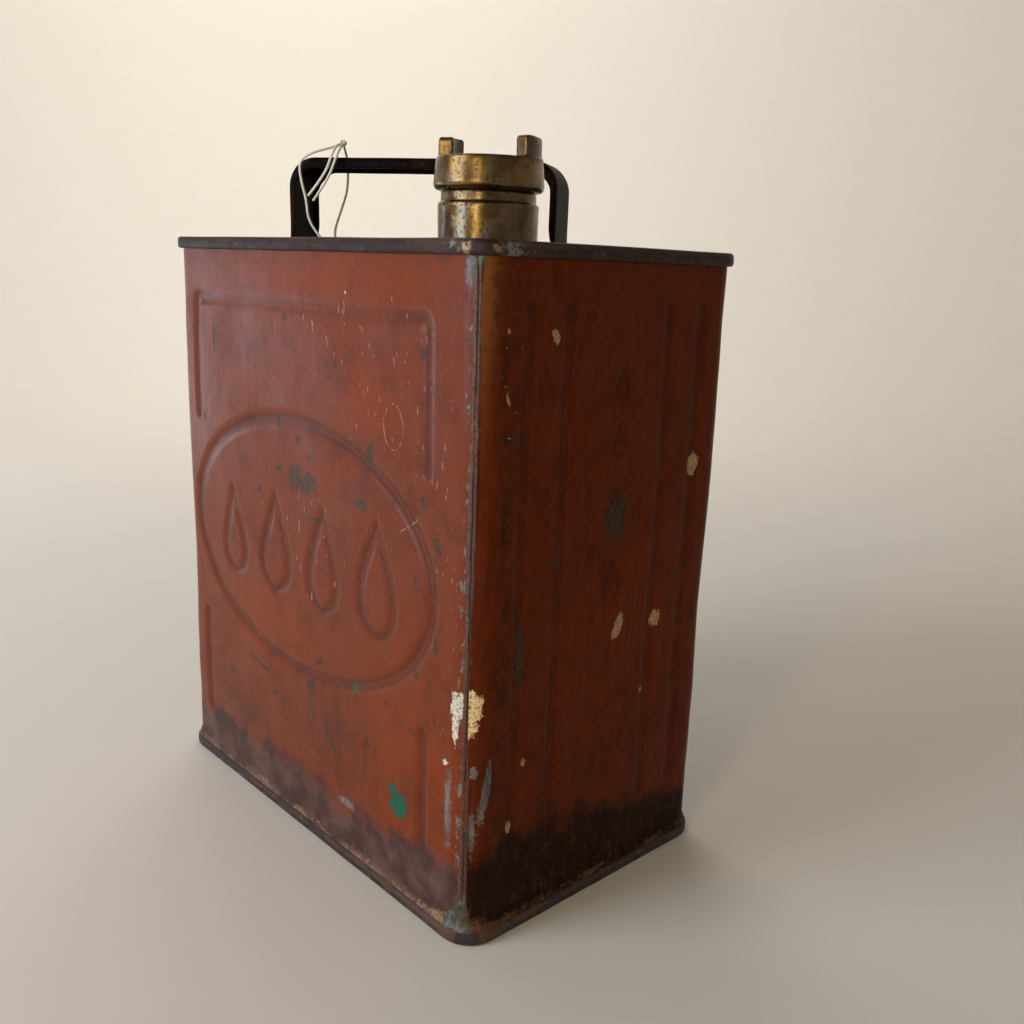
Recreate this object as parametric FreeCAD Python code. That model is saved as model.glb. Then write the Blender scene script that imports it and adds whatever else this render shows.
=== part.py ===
import FreeCAD, Part

# Two-gallon oil can: a soldered sheet-steel body with folded end seams, a pressed strap handle
# along the diagonal of its top, and a brass filler neck closed by a screw cap.
#
# Units are millimetres. The origin is on the floor under the middle of the body and +Z is up.
# The wide front panel faces -Y. The neck stands near the +X -Y corner, which is the near corner;
# the -X +Y corner is the far one. The handle runs from the -X -Y corner to the +X +Y corner.

import math
import os

from FreeCAD import Vector

# Body
BODY_WIDTH = 245.0
BODY_DEPTH = 148.0
BODY_HEIGHT = 282.0
CORNER_RADIUS = 12.0
SHEET = 0.7

# Folded end seams, measured from the outer face of the body sheet
RIM_OVERHANG = 2.6
RIM_HEIGHT = 6.3
CHIME_OVERHANG = 2.4
CHIME_HEIGHT = 5.6
SEAM_LEG = 0.8
SEAM_BRIDGE = 1.0
TOP_RECESS = 5.5
BOTTOM_RECESS = 4.8
RIM_ROUNDING = 1.9
CHIME_ROUNDING = 1.7

# Vertical seams on the near and far corners
SEAM_ANGLE = -54.0
LAP_ANGLE = 8.0
LAP_REACH = 6.0
LAP_NOTCH = 2.0
SOLDER_ANGLE = 13.0
SOLDER_OVERLAP = 2.0
SOLDER_THICKNESS = 0.35
SOLDER_END_GAP = 0.5

# Pressed grooves
GROOVE_WIDTH = 6.5
GROOVE_DEPTH = 1.2
GROOVE_SLOPE = 1.6
GROOVE_ROOT = 0.2
PATTERN_CENTRE_X = -4.5
BORDER_HALF_WIDTH = 96.0
BORDER_TOP = 257.0
BORDER_BOTTOM = 28.0
BORDER_GAP_TOP = 191.0
BORDER_GAP_BOTTOM = 88.0
OVAL_CENTRE_Z = 142.0
OVAL_HALF_WIDTH = 104.5
OVAL_HALF_HEIGHT = 63.0
OVAL_GROOVE_WIDTH = 7.0
RIB_WIDTH = 8.5
RIB_POSITIONS = (-51.0, -30.0, 30.0, 51.0)
RIB_BOTTOM = 34.0
RIB_TOP = 262.0

# Neck and cap, on one vertical axis
NECK_X = 82.5
NECK_Y = -38.5
NECK_FLANGE_RADIUS = 23.5
NECK_FLANGE_THICKNESS = 1.2
NECK_BARREL_RADIUS = 19.75
NECK_BAND_RADIUS = 18.7
NECK_SPIGOT_RADIUS = 18.0
NECK_SPIGOT_DEPTH = 4.0
NECK_BORE_RADIUS = 16.5
NECK_LIP_HEIGHT = 11.5
NECK_BAND_HEIGHT = 13.7
NECK_TOP_HEIGHT = 16.3
NECK_SOLDER_WIDTH = 2.2
WASHER_THICKNESS = 2.4
WASHER_INNER_RADIUS = 16.8
WASHER_OUTER_RADIUS = 18.3
PLUG_RADIUS = 16.45
PLUG_BORE_RADIUS = 12.5
PLUG_LENGTH = 14.6
CAP_BOTTOM_RADIUS = 21.7
CAP_TOP_RADIUS = 20.6
CAP_RING_HEIGHT = 12.1
CAP_SKIRT_HEIGHT = 3.0
CAP_EDGE_ROUNDING = 1.8
CAP_DISH_RADIUS = 14.6
CAP_DISH_DEPTH = 2.6
CAP_CROWN_THICKNESS = 2.4
LUG_HEIGHT = 8.0
LUG_HALF_ANGLE = 18.0
LUG_ROUNDING = 1.0
LUG_TAPER = 0.2
LUG_AZIMUTHS = (22.0, 202.0)

# Handle, in a vertical plane through two corners of the body
HANDLE_WIDTH = 26.0
HANDLE_SHEET = 1.5
HANDLE_START = -70.0
HANDLE_END = 62.0
HANDLE_RISE = 38.0
HANDLE_BEND = 13.0
HANDLE_EDGE = 4.0
FOOT_LENGTH = 17.0
FOOT_BEND = 3.0
FOOT_CORNER = 6.0
EDGE_START = 0.5
EDGE_RUN_OUT = 6.0
RIVET_SPACING = 13.0
RIVET_PLACE = 0.6
RIVET_SHANK_RADIUS = 2.0
RIVET_HEAD_RADIUS = 3.8
RIVET_HEAD_HEIGHT = 2.0
RIVET_TAIL_HEIGHT = 1.4
RIVET_TAIL_TOP_RADIUS = 3.4
RIVET_TAIL_END_RADIUS = 2.4

# Cotton string round the handle. Points are (along the handle, across it, above the rim).
STRING_DIAMETER = 1.2
STRING_BEND_SHARE = 0.45
KNOT_RADIUS = 2.2
KNOT_PLACE = (-45.0, -6.0, 45.0)
STRING_LOOP = (
    (-46.4, -7.2, 44.0),
    (-50.5, -11.5, 41.8),
    (-56.5, -15.8, 39.6),
    (-62.4, -17.2, 35.6),
    (-62.2, -17.4, 27.0),
    (-59.8, -17.2, 18.4),
    (-58.4, -16.8, 9.8),
    (-53.4, -16.0, 2.2),
    (-48.2, -13.0, -3.9),
    (-46.2, -5.2, -4.5),
    (-49.6, 2.6, -3.8),
    (-54.6, 5.2, 4.0),
    (-53.0, 10.4, 14.0),
    (-50.6, 15.6, 24.4),
    (-50.2, 17.6, 34.6),
    (-49.6, 13.0, 41.6),
    (-47.6, 4.4, 41.8),
    (-45.4, -4.2, 44.2),
)
STRING_ENDS = {
    "string_end_left": (
        (-45.4, -8.0, 44.2),
        (-44.6, -13.6, 43.2),
        (-45.2, -17.6, 38.4),
        (-48.6, -17.8, 29.6),
        (-57.0, -18.6, 20.0),
    ),
    "string_end_right": (
        (-44.3, -7.7, 44.1),
        (-42.6, -13.2, 42.6),
        (-43.0, -17.4, 37.6),
        (-47.0, -17.6, 27.6),
        (-54.6, -18.2, 17.8),
    ),
}

TOP_FACE = BODY_HEIGHT - TOP_RECESS
DIAGONAL = math.degrees(math.atan2(BODY_DEPTH, BODY_WIDTH))
NECK_AXIS = Vector(NECK_X, NECK_Y, 0.0)

# Reach of cutting shapes beyond what they cut
MARGIN = 1.0
SECTOR_REACH = 60.0
BIG = 400.0


def export(shape, name):
    """Write one named sub-part, after checking that it is sound."""
    if not shape.isValid() or shape.Volume <= 0.0:
        raise ValueError(name + " is not a valid solid")
    shape.exportStep("parts/" + name + ".step")
    print(name, len(shape.Solids), "solid(s)", round(shape.Volume, 1), "mm3")


def polygon(points):
    return Part.makePolygon(points + [points[0]])


def prism(wire, height):
    """Solid of the given height, standing on a closed horizontal wire."""
    return Part.Face(wire).extrude(Vector(0.0, 0.0, height))


def rounded_block(grow, bottom, top):
    """Solid with the body's plan outline, grown outwards (or inwards if negative)."""
    radius = CORNER_RADIUS + grow
    half_x = BODY_WIDTH / 2.0 + grow
    half_y = BODY_DEPTH / 2.0 + grow
    corners = (
        (half_x - radius, radius - half_y, -90.0),
        (half_x - radius, half_y - radius, 0.0),
        (radius - half_x, half_y - radius, 90.0),
        (radius - half_x, radius - half_y, 180.0),
    )
    arcs = []
    for centre_x, centre_y, start in corners:
        circle = Part.Circle(Vector(centre_x, centre_y, bottom), Vector(0.0, 0.0, 1.0), radius)
        arcs.append(Part.ArcOfCircle(circle, math.radians(start), math.radians(start + 90.0)))
    edges = []
    for arc, following in zip(arcs, arcs[1:] + arcs[:1]):
        edges.append(arc.toShape())
        edges.append(Part.LineSegment(arc.EndPoint, following.StartPoint).toShape())
    return prism(Part.Wire(edges), top - bottom)


def band(outer, inner, bottom, top):
    """Ring that follows the body's outline between two offsets."""
    return rounded_block(outer, bottom, top).cut(rounded_block(inner, bottom, top))


def fillet_edges(shape, radius, wanted):
    """Round the edges whose middle point passes the test."""
    edges = []
    for edge in shape.Edges:
        middle = edge.valueAt((edge.FirstParameter + edge.LastParameter) / 2.0)
        if wanted(middle):
            edges.append(edge)
    return shape.makeFillet(radius, edges)


def outside_body(point, grow):
    """Whether a point is on the body's outline grown by the given offset."""
    dx = abs(point.x) - (BODY_WIDTH / 2.0 - CORNER_RADIUS)
    dy = abs(point.y) - (BODY_DEPTH / 2.0 - CORNER_RADIUS)
    distance = math.hypot(max(dx, 0.0), max(dy, 0.0))
    return abs(distance - CORNER_RADIUS - grow) < 0.05


def half_turn(shape):
    """Copy turned half way round the vertical axis of the body."""
    turned = shape.copy()
    turned.rotate(Vector(0.0, 0.0, 0.0), Vector(0.0, 0.0, 1.0), 180.0)
    return turned


def corner_direction(angle):
    return Vector(math.cos(math.radians(angle)), math.sin(math.radians(angle)), 0.0)


def near_corner_centre():
    return Vector(BODY_WIDTH / 2.0 - CORNER_RADIUS, CORNER_RADIUS - BODY_DEPTH / 2.0, 0.0)


def near_corner_sector(start, end, bottom, top):
    """Wedge about the near corner's centre, between two directions."""
    centre = near_corner_centre()
    points = [centre]
    for angle in (start, end):
        points.append(centre + corner_direction(angle) * SECTOR_REACH)
    lifted = [Vector(point.x, point.y, bottom) for point in points]
    return prism(polygon(lifted), top - bottom)


def front_half():
    """Everything on the front and left side of the two corner seams."""
    centre = near_corner_centre()
    seam_end = centre + corner_direction(SEAM_ANGLE) * SECTOR_REACH
    far_end = Vector(-seam_end.x, -seam_end.y, 0.0)
    points = [
        centre,
        seam_end,
        Vector(seam_end.x, -BIG, 0.0),
        Vector(-BIG, -BIG, 0.0),
        Vector(-BIG, far_end.y, 0.0),
        far_end,
        Vector(-centre.x, -centre.y, 0.0),
    ]
    return prism(polygon(points), BODY_HEIGHT)


def lap_tongue():
    """Strip on the back sheet's edge that lies inside the front sheet at the near corner."""
    centre = near_corner_centre()
    bottom = CHIME_HEIGHT + LAP_NOTCH
    top = BODY_HEIGHT - RIM_HEIGHT - LAP_NOTCH
    straight_start = Vector(centre.x - LAP_REACH, centre.y - SECTOR_REACH, bottom)
    straight = Part.makeBox(LAP_REACH, SECTOR_REACH, top - bottom, straight_start)
    bend = near_corner_sector(-90.0, SEAM_ANGLE + LAP_ANGLE, bottom, top)
    return band(-SHEET, -2.0 * SHEET, bottom, top).common(straight.fuse(bend))


def ruled_block(outline, low_inset, high_inset, low, high):
    """Solid between two outlines, one at each height of a flat pattern."""
    lower = outline(low_inset)
    upper = outline(high_inset)
    lower.translate(Vector(0.0, 0.0, low))
    upper.translate(Vector(0.0, 0.0, high))
    return Part.makeLoft([lower, upper], True, True)


def bracket(sign):
    """Outline of a three-sided border strip: sign is 1 above the oval and -1 below it."""
    edge = BORDER_TOP if sign > 0 else BORDER_BOTTOM
    gap = BORDER_GAP_TOP if sign > 0 else BORDER_GAP_BOTTOM

    def outline(inset):
        half = GROOVE_WIDTH / 2.0 - inset
        outer = BORDER_HALF_WIDTH + half
        inner = BORDER_HALF_WIDTH - half
        far = edge + sign * half
        near = edge - sign * half
        end = gap + sign * inset
        left = [(-inner, end), (-outer, end), (-outer, far)]
        right = [(outer, far), (outer, end), (inner, end)]
        inside = [(inner, near), (-inner, near)]
        corners = left + right + inside
        return polygon([Vector(PATTERN_CENTRE_X + x, z, 0.0) for x, z in corners])

    return outline


def oval(shrink, sign):
    """Outline of an ellipse; a positive inset shrinks it if sign is 1 and grows it if -1."""

    def outline(inset):
        half_width = OVAL_HALF_WIDTH - shrink - sign * inset
        half_height = OVAL_HALF_HEIGHT - shrink - sign * inset
        centre = Vector(PATTERN_CENTRE_X, OVAL_CENTRE_Z, 0.0)
        return Part.Wire(Part.Ellipse(centre, half_width, half_height).toShape())

    return outline


def rib(middle):
    """Outline of an upright rib with round ends."""

    def outline(inset):
        radius = RIB_WIDTH / 2.0 - inset
        ends = []
        for height, start in ((RIB_TOP - RIB_WIDTH / 2.0, 0.0), (RIB_BOTTOM + RIB_WIDTH / 2.0, 180.0)):
            circle = Part.Circle(Vector(middle, height, 0.0), Vector(0.0, 0.0, 1.0), radius)
            ends.append(Part.ArcOfCircle(circle, math.radians(start), math.radians(start + 180.0)))
        top, bottom = ends
        sides = [
            Part.LineSegment(top.EndPoint, bottom.StartPoint),
            Part.LineSegment(bottom.EndPoint, top.StartPoint),
        ]
        return Part.Wire([top.toShape(), sides[0].toShape(), bottom.toShape(), sides[1].toShape()])

    return outline


def swell(outline):
    """The back of a groove, which stands out on the inside of the sheet."""
    inner = -GROOVE_DEPTH - SHEET
    return ruled_block(outline, GROOVE_SLOPE - SHEET, -SHEET, inner, GROOVE_ROOT - SHEET)


def groove(outline):
    return ruled_block(outline, GROOVE_SLOPE, 0.0, -GROOVE_DEPTH, GROOVE_ROOT)


def wide_panel_pattern(pressing):
    """Grooves, or their swollen backs, of a wide panel as one flat pattern."""
    ring = pressing(oval(0.0, 1.0)).cut(pressing(oval(OVAL_GROOVE_WIDTH, -1.0)))
    return [pressing(bracket(1.0)), pressing(bracket(-1.0)), ring]


def narrow_panel_pattern(pressing):
    return [pressing(rib(middle)) for middle in RIB_POSITIONS]


def on_panel(solids, turn, distance):
    """Stand a flat pattern up on the panel that faces a given way."""
    placed = []
    for solid in solids:
        solid.rotate(Vector(0.0, 0.0, 0.0), Vector(1.0, 0.0, 0.0), 90.0)
        solid.translate(Vector(0.0, -distance, 0.0))
        solid.rotate(Vector(0.0, 0.0, 0.0), Vector(0.0, 0.0, 1.0), turn)
        placed.append(solid)
    return placed


def front_sheet():
    """Front and left panels in one bent sheet, with the lap tongue for the far corner."""
    wall = band(0.0, -SHEET, SEAM_BRIDGE, BODY_HEIGHT - SEAM_BRIDGE).common(front_half())
    for pressing in (swell, groove):
        wide = on_panel(wide_panel_pattern(pressing), 0.0, BODY_DEPTH / 2.0)
        narrow = on_panel(narrow_panel_pattern(pressing), -90.0, BODY_WIDTH / 2.0)
        for solid in wide + narrow:
            wall = wall.fuse(solid) if pressing is swell else wall.cut(solid)
    return wall.fuse(half_turn(lap_tongue())).removeSplitter()


def seam_solder():
    """Thin run of solder over the front sheet's edge at the near corner."""
    bottom = CHIME_HEIGHT + SOLDER_END_GAP
    top = BODY_HEIGHT - RIM_HEIGHT - SOLDER_END_GAP
    start = SEAM_ANGLE - SOLDER_ANGLE
    sector = near_corner_sector(start, SEAM_ANGLE + SOLDER_OVERLAP, bottom, top)
    return band(SOLDER_THICKNESS, 0.0, bottom, top).common(sector)


def round_hole(x, y, radius):
    axis_point = Vector(x, y, TOP_FACE - SEAM_LEG - MARGIN)
    return Part.makeCylinder(radius, SEAM_LEG + 2.0 * MARGIN, axis_point)


def top_plate():
    """Recessed top with its rim folded over the body sheets."""
    under = BODY_HEIGHT - RIM_HEIGHT
    rim = band(RIM_OVERHANG, -SHEET - SEAM_LEG, under, BODY_HEIGHT)
    rim = fillet_edges(rim, RIM_ROUNDING, lambda point: outside_body(point, RIM_OVERHANG))
    rim = rim.cut(band(0.0, -SHEET, under - MARGIN, BODY_HEIGHT - SEAM_BRIDGE))
    plate = rounded_block(-SHEET - SEAM_LEG / 2.0, TOP_FACE - SEAM_LEG, TOP_FACE)
    plate = plate.fuse(rim).removeSplitter()
    plate = plate.cut(round_hole(NECK_X, NECK_Y, NECK_SPIGOT_RADIUS))
    for x, y in rivet_places():
        plate = plate.cut(round_hole(x, y, RIVET_SHANK_RADIUS))
    return plate


def bottom_plate():
    """Recessed base with its chime folded over the body sheets."""
    chime = band(CHIME_OVERHANG, -SHEET - SEAM_LEG, 0.0, CHIME_HEIGHT)
    chime = fillet_edges(chime, CHIME_ROUNDING, lambda point: outside_body(point, CHIME_OVERHANG))
    chime = chime.cut(band(0.0, -SHEET, SEAM_BRIDGE, CHIME_HEIGHT + MARGIN))
    plate = rounded_block(-SHEET - SEAM_LEG / 2.0, BOTTOM_RECESS, CHIME_HEIGHT)
    return plate.fuse(chime).removeSplitter()


def turned(profile):
    """Solid turned about the neck's axis from (radius, height above the rim) points."""
    points = [Vector(radius, 0.0, BODY_HEIGHT + height) for radius, height in profile]
    solid = Part.Face(polygon(points)).revolve(Vector(0.0, 0.0, 0.0), Vector(0.0, 0.0, 1.0), 360.0)
    solid.translate(NECK_AXIS)
    return solid


def neck_collar():
    """Brass neck: spigot through the top plate, flange on it, barrel and a narrower lip."""
    flange_top = NECK_FLANGE_THICKNESS - TOP_RECESS
    return turned([
        (NECK_BORE_RADIUS, -TOP_RECESS - NECK_SPIGOT_DEPTH),
        (NECK_SPIGOT_RADIUS, -TOP_RECESS - NECK_SPIGOT_DEPTH),
        (NECK_SPIGOT_RADIUS, -TOP_RECESS),
        (NECK_FLANGE_RADIUS, -TOP_RECESS),
        (NECK_FLANGE_RADIUS, flange_top),
        (NECK_BARREL_RADIUS, flange_top),
        (NECK_BARREL_RADIUS, NECK_LIP_HEIGHT),
        (NECK_BAND_RADIUS, NECK_BAND_HEIGHT),
        (NECK_BAND_RADIUS, NECK_TOP_HEIGHT),
        (NECK_BORE_RADIUS, NECK_TOP_HEIGHT),
    ])


def neck_solder():
    """Fillet of solder round the neck's flange."""
    return turned([
        (NECK_FLANGE_RADIUS, -TOP_RECESS),
        (NECK_FLANGE_RADIUS + NECK_SOLDER_WIDTH, -TOP_RECESS),
        (NECK_FLANGE_RADIUS + NECK_SOLDER_WIDTH * 0.3, NECK_FLANGE_THICKNESS * 0.5 - TOP_RECESS),
        (NECK_FLANGE_RADIUS, NECK_FLANGE_THICKNESS - TOP_RECESS),
    ])


def cap_washer():
    """Leather sealing washer between the neck's lip and the cap."""
    return turned([
        (WASHER_INNER_RADIUS, NECK_TOP_HEIGHT),
        (WASHER_OUTER_RADIUS, NECK_TOP_HEIGHT),
        (WASHER_OUTER_RADIUS, NECK_TOP_HEIGHT + WASHER_THICKNESS),
        (WASHER_INNER_RADIUS, NECK_TOP_HEIGHT + WASHER_THICKNESS),
    ])


def cap_lug(azimuth):
    """Finger lug: a short upright piece of ring on the cap's edge."""
    base = NECK_TOP_HEIGHT + WASHER_THICKNESS + CAP_RING_HEIGHT
    root = BODY_HEIGHT + base - MARGIN
    tip = BODY_HEIGHT + base + LUG_HEIGHT
    profile = [
        Vector(CAP_DISH_RADIUS, 0.0, root),
        Vector(CAP_TOP_RADIUS, 0.0, root),
        Vector(CAP_TOP_RADIUS - LUG_TAPER, 0.0, tip),
        Vector(CAP_DISH_RADIUS, 0.0, tip),
    ]
    centre = Vector(0.0, 0.0, 0.0)
    up = Vector(0.0, 0.0, 1.0)
    lug = Part.Face(polygon(profile)).revolve(centre, up, 2.0 * LUG_HALF_ANGLE)
    lug.rotate(centre, up, azimuth - LUG_HALF_ANGLE)
    lug = fillet_edges(lug, LUG_ROUNDING, lambda point: point.z > BODY_HEIGHT + base + MARGIN)
    lug.translate(NECK_AXIS)
    return lug


def screw_cap():
    """Brass cap: hollow threaded plug, plain ring, dished crown and two lugs."""
    under = NECK_TOP_HEIGHT + WASHER_THICKNESS
    top = under + CAP_RING_HEIGHT
    crown = top - CAP_DISH_DEPTH
    cap = turned([
        (PLUG_RADIUS, under),
        (PLUG_RADIUS, under - PLUG_LENGTH),
        (PLUG_BORE_RADIUS, under - PLUG_LENGTH),
        (PLUG_BORE_RADIUS, crown - CAP_CROWN_THICKNESS),
        (0.0, crown - CAP_CROWN_THICKNESS),
        (0.0, crown),
        (CAP_DISH_RADIUS, crown),
        (CAP_DISH_RADIUS, top),
        (CAP_TOP_RADIUS, top),
        (CAP_BOTTOM_RADIUS, under + CAP_SKIRT_HEIGHT),
        (CAP_BOTTOM_RADIUS, under),
    ])
    edge_height = BODY_HEIGHT + under
    lower_edge = (lambda point: is_round_edge(point, CAP_BOTTOM_RADIUS, edge_height))
    cap = fillet_edges(cap, CAP_EDGE_ROUNDING, lower_edge)
    for azimuth in LUG_AZIMUTHS:
        cap = cap.fuse(cap_lug(azimuth))
    return cap.removeSplitter()


def is_round_edge(point, radius, height):
    """Whether a point is at a given radius from the neck's axis and at a given height."""
    distance = math.hypot(point.x - NECK_X, point.y - NECK_Y)
    return abs(distance - radius) < 0.05 and abs(point.z - height) < 0.05


def rounded_edges(points, radii, closed):
    """Straight edges joined by tangent arcs; an open path's end points take no radius."""
    count = len(points)
    cuts = []
    for index in range(count):
        here = points[index]
        is_end = not closed and index in (0, count - 1)
        if is_end or radii[index] == 0.0:
            cuts.append((here, here, None))
            continue
        back = (points[index - 1] - here).normalize()
        ahead = (points[(index + 1) % count] - here).normalize()
        half_turn_angle = (math.pi - back.getAngle(ahead)) / 2.0
        reach = radii[index] * math.tan(half_turn_angle)
        inward = (back + ahead).normalize()
        middle = here + inward * (radii[index] / math.cos(half_turn_angle) - radii[index])
        cuts.append((here + back * reach, here + ahead * reach, middle))
    edges = []
    for index in range(count):
        entry, leave, middle = cuts[index]
        if middle is not None:
            edges.append(Part.Arc(entry, middle, leave).toShape())
        if closed or index < count - 1:
            following = cuts[(index + 1) % count][0]
            edges.append(Part.LineSegment(leave, following).toShape())
    return edges


def across_handle(points, radii, start, width):
    """Solid between two upright planes from an outline drawn along the handle."""
    outline = [Vector(along, start, height) for along, height in points]
    wire = Part.Wire(rounded_edges(outline, radii, True))
    return Part.Face(wire).extrude(Vector(0.0, width, 0.0))


def on_diagonal(shape):
    """Turn a shape drawn along X on to the body's diagonal."""
    shape.rotate(Vector(0.0, 0.0, 0.0), Vector(0.0, 0.0, 1.0), DIAGONAL)
    return shape


def handle_strap():
    """Strap with turned-down edges, two upright legs and feet turned outwards."""
    top = BODY_HEIGHT + HANDLE_RISE
    inner_top = top - HANDLE_SHEET
    foot = TOP_FACE
    foot_top = TOP_FACE + HANDLE_SHEET
    left = HANDLE_START
    right = HANDLE_END
    thin = HANDLE_SHEET
    corner = (
        (left - FOOT_LENGTH, foot, 0.0),
        (left - FOOT_LENGTH, foot_top, 0.0),
        (left, foot_top, FOOT_BEND),
        (left, top, HANDLE_BEND),
        (right, top, HANDLE_BEND),
        (right, foot_top, FOOT_BEND),
        (right + FOOT_LENGTH, foot_top, 0.0),
        (right + FOOT_LENGTH, foot, 0.0),
        (right - thin, foot, FOOT_BEND + thin),
        (right - thin, inner_top, HANDLE_BEND - thin),
        (left + thin, inner_top, HANDLE_BEND - thin),
        (left + thin, foot, FOOT_BEND + thin),
    )
    points = [(along, height) for along, height, radius in corner]
    radii = [radius for along, height, radius in corner]
    strap = across_handle(points, radii, -HANDLE_WIDTH / 2.0, HANDLE_WIDTH)
    tips = (left - FOOT_LENGTH, right + FOOT_LENGTH)
    strap = fillet_edges(strap, FOOT_CORNER, lambda point: is_foot_corner(point, tips))

    depth = HANDLE_SHEET + HANDLE_EDGE
    low = BODY_HEIGHT - EDGE_START
    edge_points = (
        (left, low, 0.0),
        (left, top, HANDLE_BEND),
        (right, top, HANDLE_BEND),
        (right, low, 0.0),
        (right - thin, low, 0.0),
        (right - depth, low + EDGE_RUN_OUT, 0.0),
        (right - depth, top - depth, HANDLE_BEND - depth),
        (left + depth, top - depth, HANDLE_BEND - depth),
        (left + depth, low + EDGE_RUN_OUT, 0.0),
        (left + thin, low, 0.0),
    )
    points = [(along, height) for along, height, radius in edge_points]
    radii = [radius for along, height, radius in edge_points]
    for start in (-HANDLE_WIDTH / 2.0, HANDLE_WIDTH / 2.0 - HANDLE_SHEET):
        strap = strap.fuse(across_handle(points, radii, start, HANDLE_SHEET))
    strap = on_diagonal(strap.removeSplitter())
    for x, y in rivet_places():
        hole_start = Vector(x, y, TOP_FACE - MARGIN)
        strap = strap.cut(Part.makeCylinder(RIVET_SHANK_RADIUS, thin + 2.0 * MARGIN, hole_start))
    return strap


def is_foot_corner(point, tips):
    """Whether a point is on an upright corner edge at a foot's tip."""
    at_tip = min(abs(point.x - tip) for tip in tips) < 0.05
    return at_tip and abs(abs(point.y) - HANDLE_WIDTH / 2.0) < 0.05


def rivet_places():
    """Plan positions of the rivets, two through each foot."""
    middle = FOOT_LENGTH * RIVET_PLACE
    angle = math.radians(DIAGONAL)
    places = []
    for along in (HANDLE_START - middle, HANDLE_END + middle):
        for across in (-RIVET_SPACING / 2.0, RIVET_SPACING / 2.0):
            x = along * math.cos(angle) - across * math.sin(angle)
            y = along * math.sin(angle) + across * math.cos(angle)
            places.append((x, y))
    return places


def rivet(x, y):
    """Round-headed rivet with its shank and flattened tail."""
    head_base = TOP_FACE + HANDLE_SHEET
    sphere_radius = (RIVET_HEAD_RADIUS ** 2 + RIVET_HEAD_HEIGHT ** 2) / (2.0 * RIVET_HEAD_HEIGHT)
    head = Part.makeSphere(sphere_radius, Vector(x, y, head_base + RIVET_HEAD_HEIGHT - sphere_radius))
    above = Part.makeCylinder(sphere_radius, sphere_radius, Vector(x, y, head_base))
    tail_base = TOP_FACE - SEAM_LEG
    shank = Part.makeCylinder(RIVET_SHANK_RADIUS, head_base - tail_base, Vector(x, y, tail_base))
    tail_start = Vector(x, y, tail_base - RIVET_TAIL_HEIGHT)
    tail = Part.makeCone(RIVET_TAIL_END_RADIUS, RIVET_TAIL_TOP_RADIUS, RIVET_TAIL_HEIGHT, tail_start)
    return head.common(above).fuse(shank).fuse(tail).removeSplitter()


def handle_rivets():
    return Part.makeCompound([rivet(x, y) for x, y in rivet_places()])


def handle_point(place):
    """Point given along the handle, across it and above the rim."""
    point = Vector(place[0], place[1], BODY_HEIGHT + place[2])
    angle = math.radians(DIAGONAL)
    x = point.x * math.cos(angle) - point.y * math.sin(angle)
    y = point.x * math.sin(angle) + point.y * math.cos(angle)
    return Vector(x, y, point.z)


def string_tube(places, name):
    """Round tube along straight runs and the largest tangent arcs that fit them."""
    points = [handle_point(place) for place in places]
    radii = [0.0]
    for before, here, after in zip(points, points[1:], points[2:]):
        turn = (here - before).getAngle(after - here)
        shorter = min((here - before).Length, (after - here).Length)
        radii.append(STRING_BEND_SHARE * shorter / math.tan(turn / 2.0))
    radii.append(0.0)
    path = Part.Wire(rounded_edges(points, radii, False))
    circle = Part.Circle(points[0], points[1] - points[0], STRING_DIAMETER / 2.0)
    tube = path.makePipeShell([Part.Wire(circle.toShape())], True, False)
    expected = math.pi * STRING_DIAMETER ** 2 / 4.0 * path.Length
    print(name, "length", round(path.Length, 1), "smallest radius", round(min(radii[1:-1]), 2))
    print(name, "volume", round(tube.Volume, 2), "section times length", round(expected, 2))
    return tube


def string_knot():
    return Part.makeSphere(KNOT_RADIUS, handle_point(KNOT_PLACE))


def main():
    os.makedirs("parts", exist_ok=True)
    front = front_sheet()
    solder = seam_solder()
    export(front, "front_sheet")
    export(half_turn(front), "back_sheet")
    export(solder, "near_seam_solder")
    export(half_turn(solder), "far_seam_solder")
    export(top_plate(), "top_plate")
    export(bottom_plate(), "bottom_plate")
    export(neck_collar(), "neck_collar")
    export(neck_solder(), "neck_solder")
    export(cap_washer(), "cap_washer")
    export(screw_cap(), "screw_cap")
    export(handle_strap(), "handle_strap")
    export(handle_rivets(), "handle_rivets")
    export(string_knot(), "string_knot")
    export(string_tube(STRING_LOOP, "string_loop"), "string_loop")
    for name, places in STRING_ENDS.items():
        export(string_tube(places, name), name)


main()
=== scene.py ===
import math

import bmesh
import bpy
import numpy as np
from mathutils import Matrix, Vector


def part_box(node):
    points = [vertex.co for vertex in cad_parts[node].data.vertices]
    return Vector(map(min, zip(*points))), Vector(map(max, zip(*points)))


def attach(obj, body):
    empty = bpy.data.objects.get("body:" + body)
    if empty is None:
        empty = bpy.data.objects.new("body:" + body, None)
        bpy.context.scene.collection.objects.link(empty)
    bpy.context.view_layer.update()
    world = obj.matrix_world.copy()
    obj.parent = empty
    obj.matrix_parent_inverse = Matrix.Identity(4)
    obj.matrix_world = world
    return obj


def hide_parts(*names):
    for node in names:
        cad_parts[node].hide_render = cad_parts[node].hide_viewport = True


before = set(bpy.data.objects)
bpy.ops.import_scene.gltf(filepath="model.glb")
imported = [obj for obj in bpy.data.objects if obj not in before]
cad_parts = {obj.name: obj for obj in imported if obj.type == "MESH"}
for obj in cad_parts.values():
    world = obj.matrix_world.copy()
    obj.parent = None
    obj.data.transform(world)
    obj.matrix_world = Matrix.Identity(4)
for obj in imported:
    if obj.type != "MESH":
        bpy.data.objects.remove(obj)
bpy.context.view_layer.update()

# Oil can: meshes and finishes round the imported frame. Shapes are worked out in millimetres, in the
# frame of the CAD model, and turned into metres when a mesh is made. The wide front panel faces -Y
# and the near corner, with the neck over it, is the +X -Y one.

MM = 0.001

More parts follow.
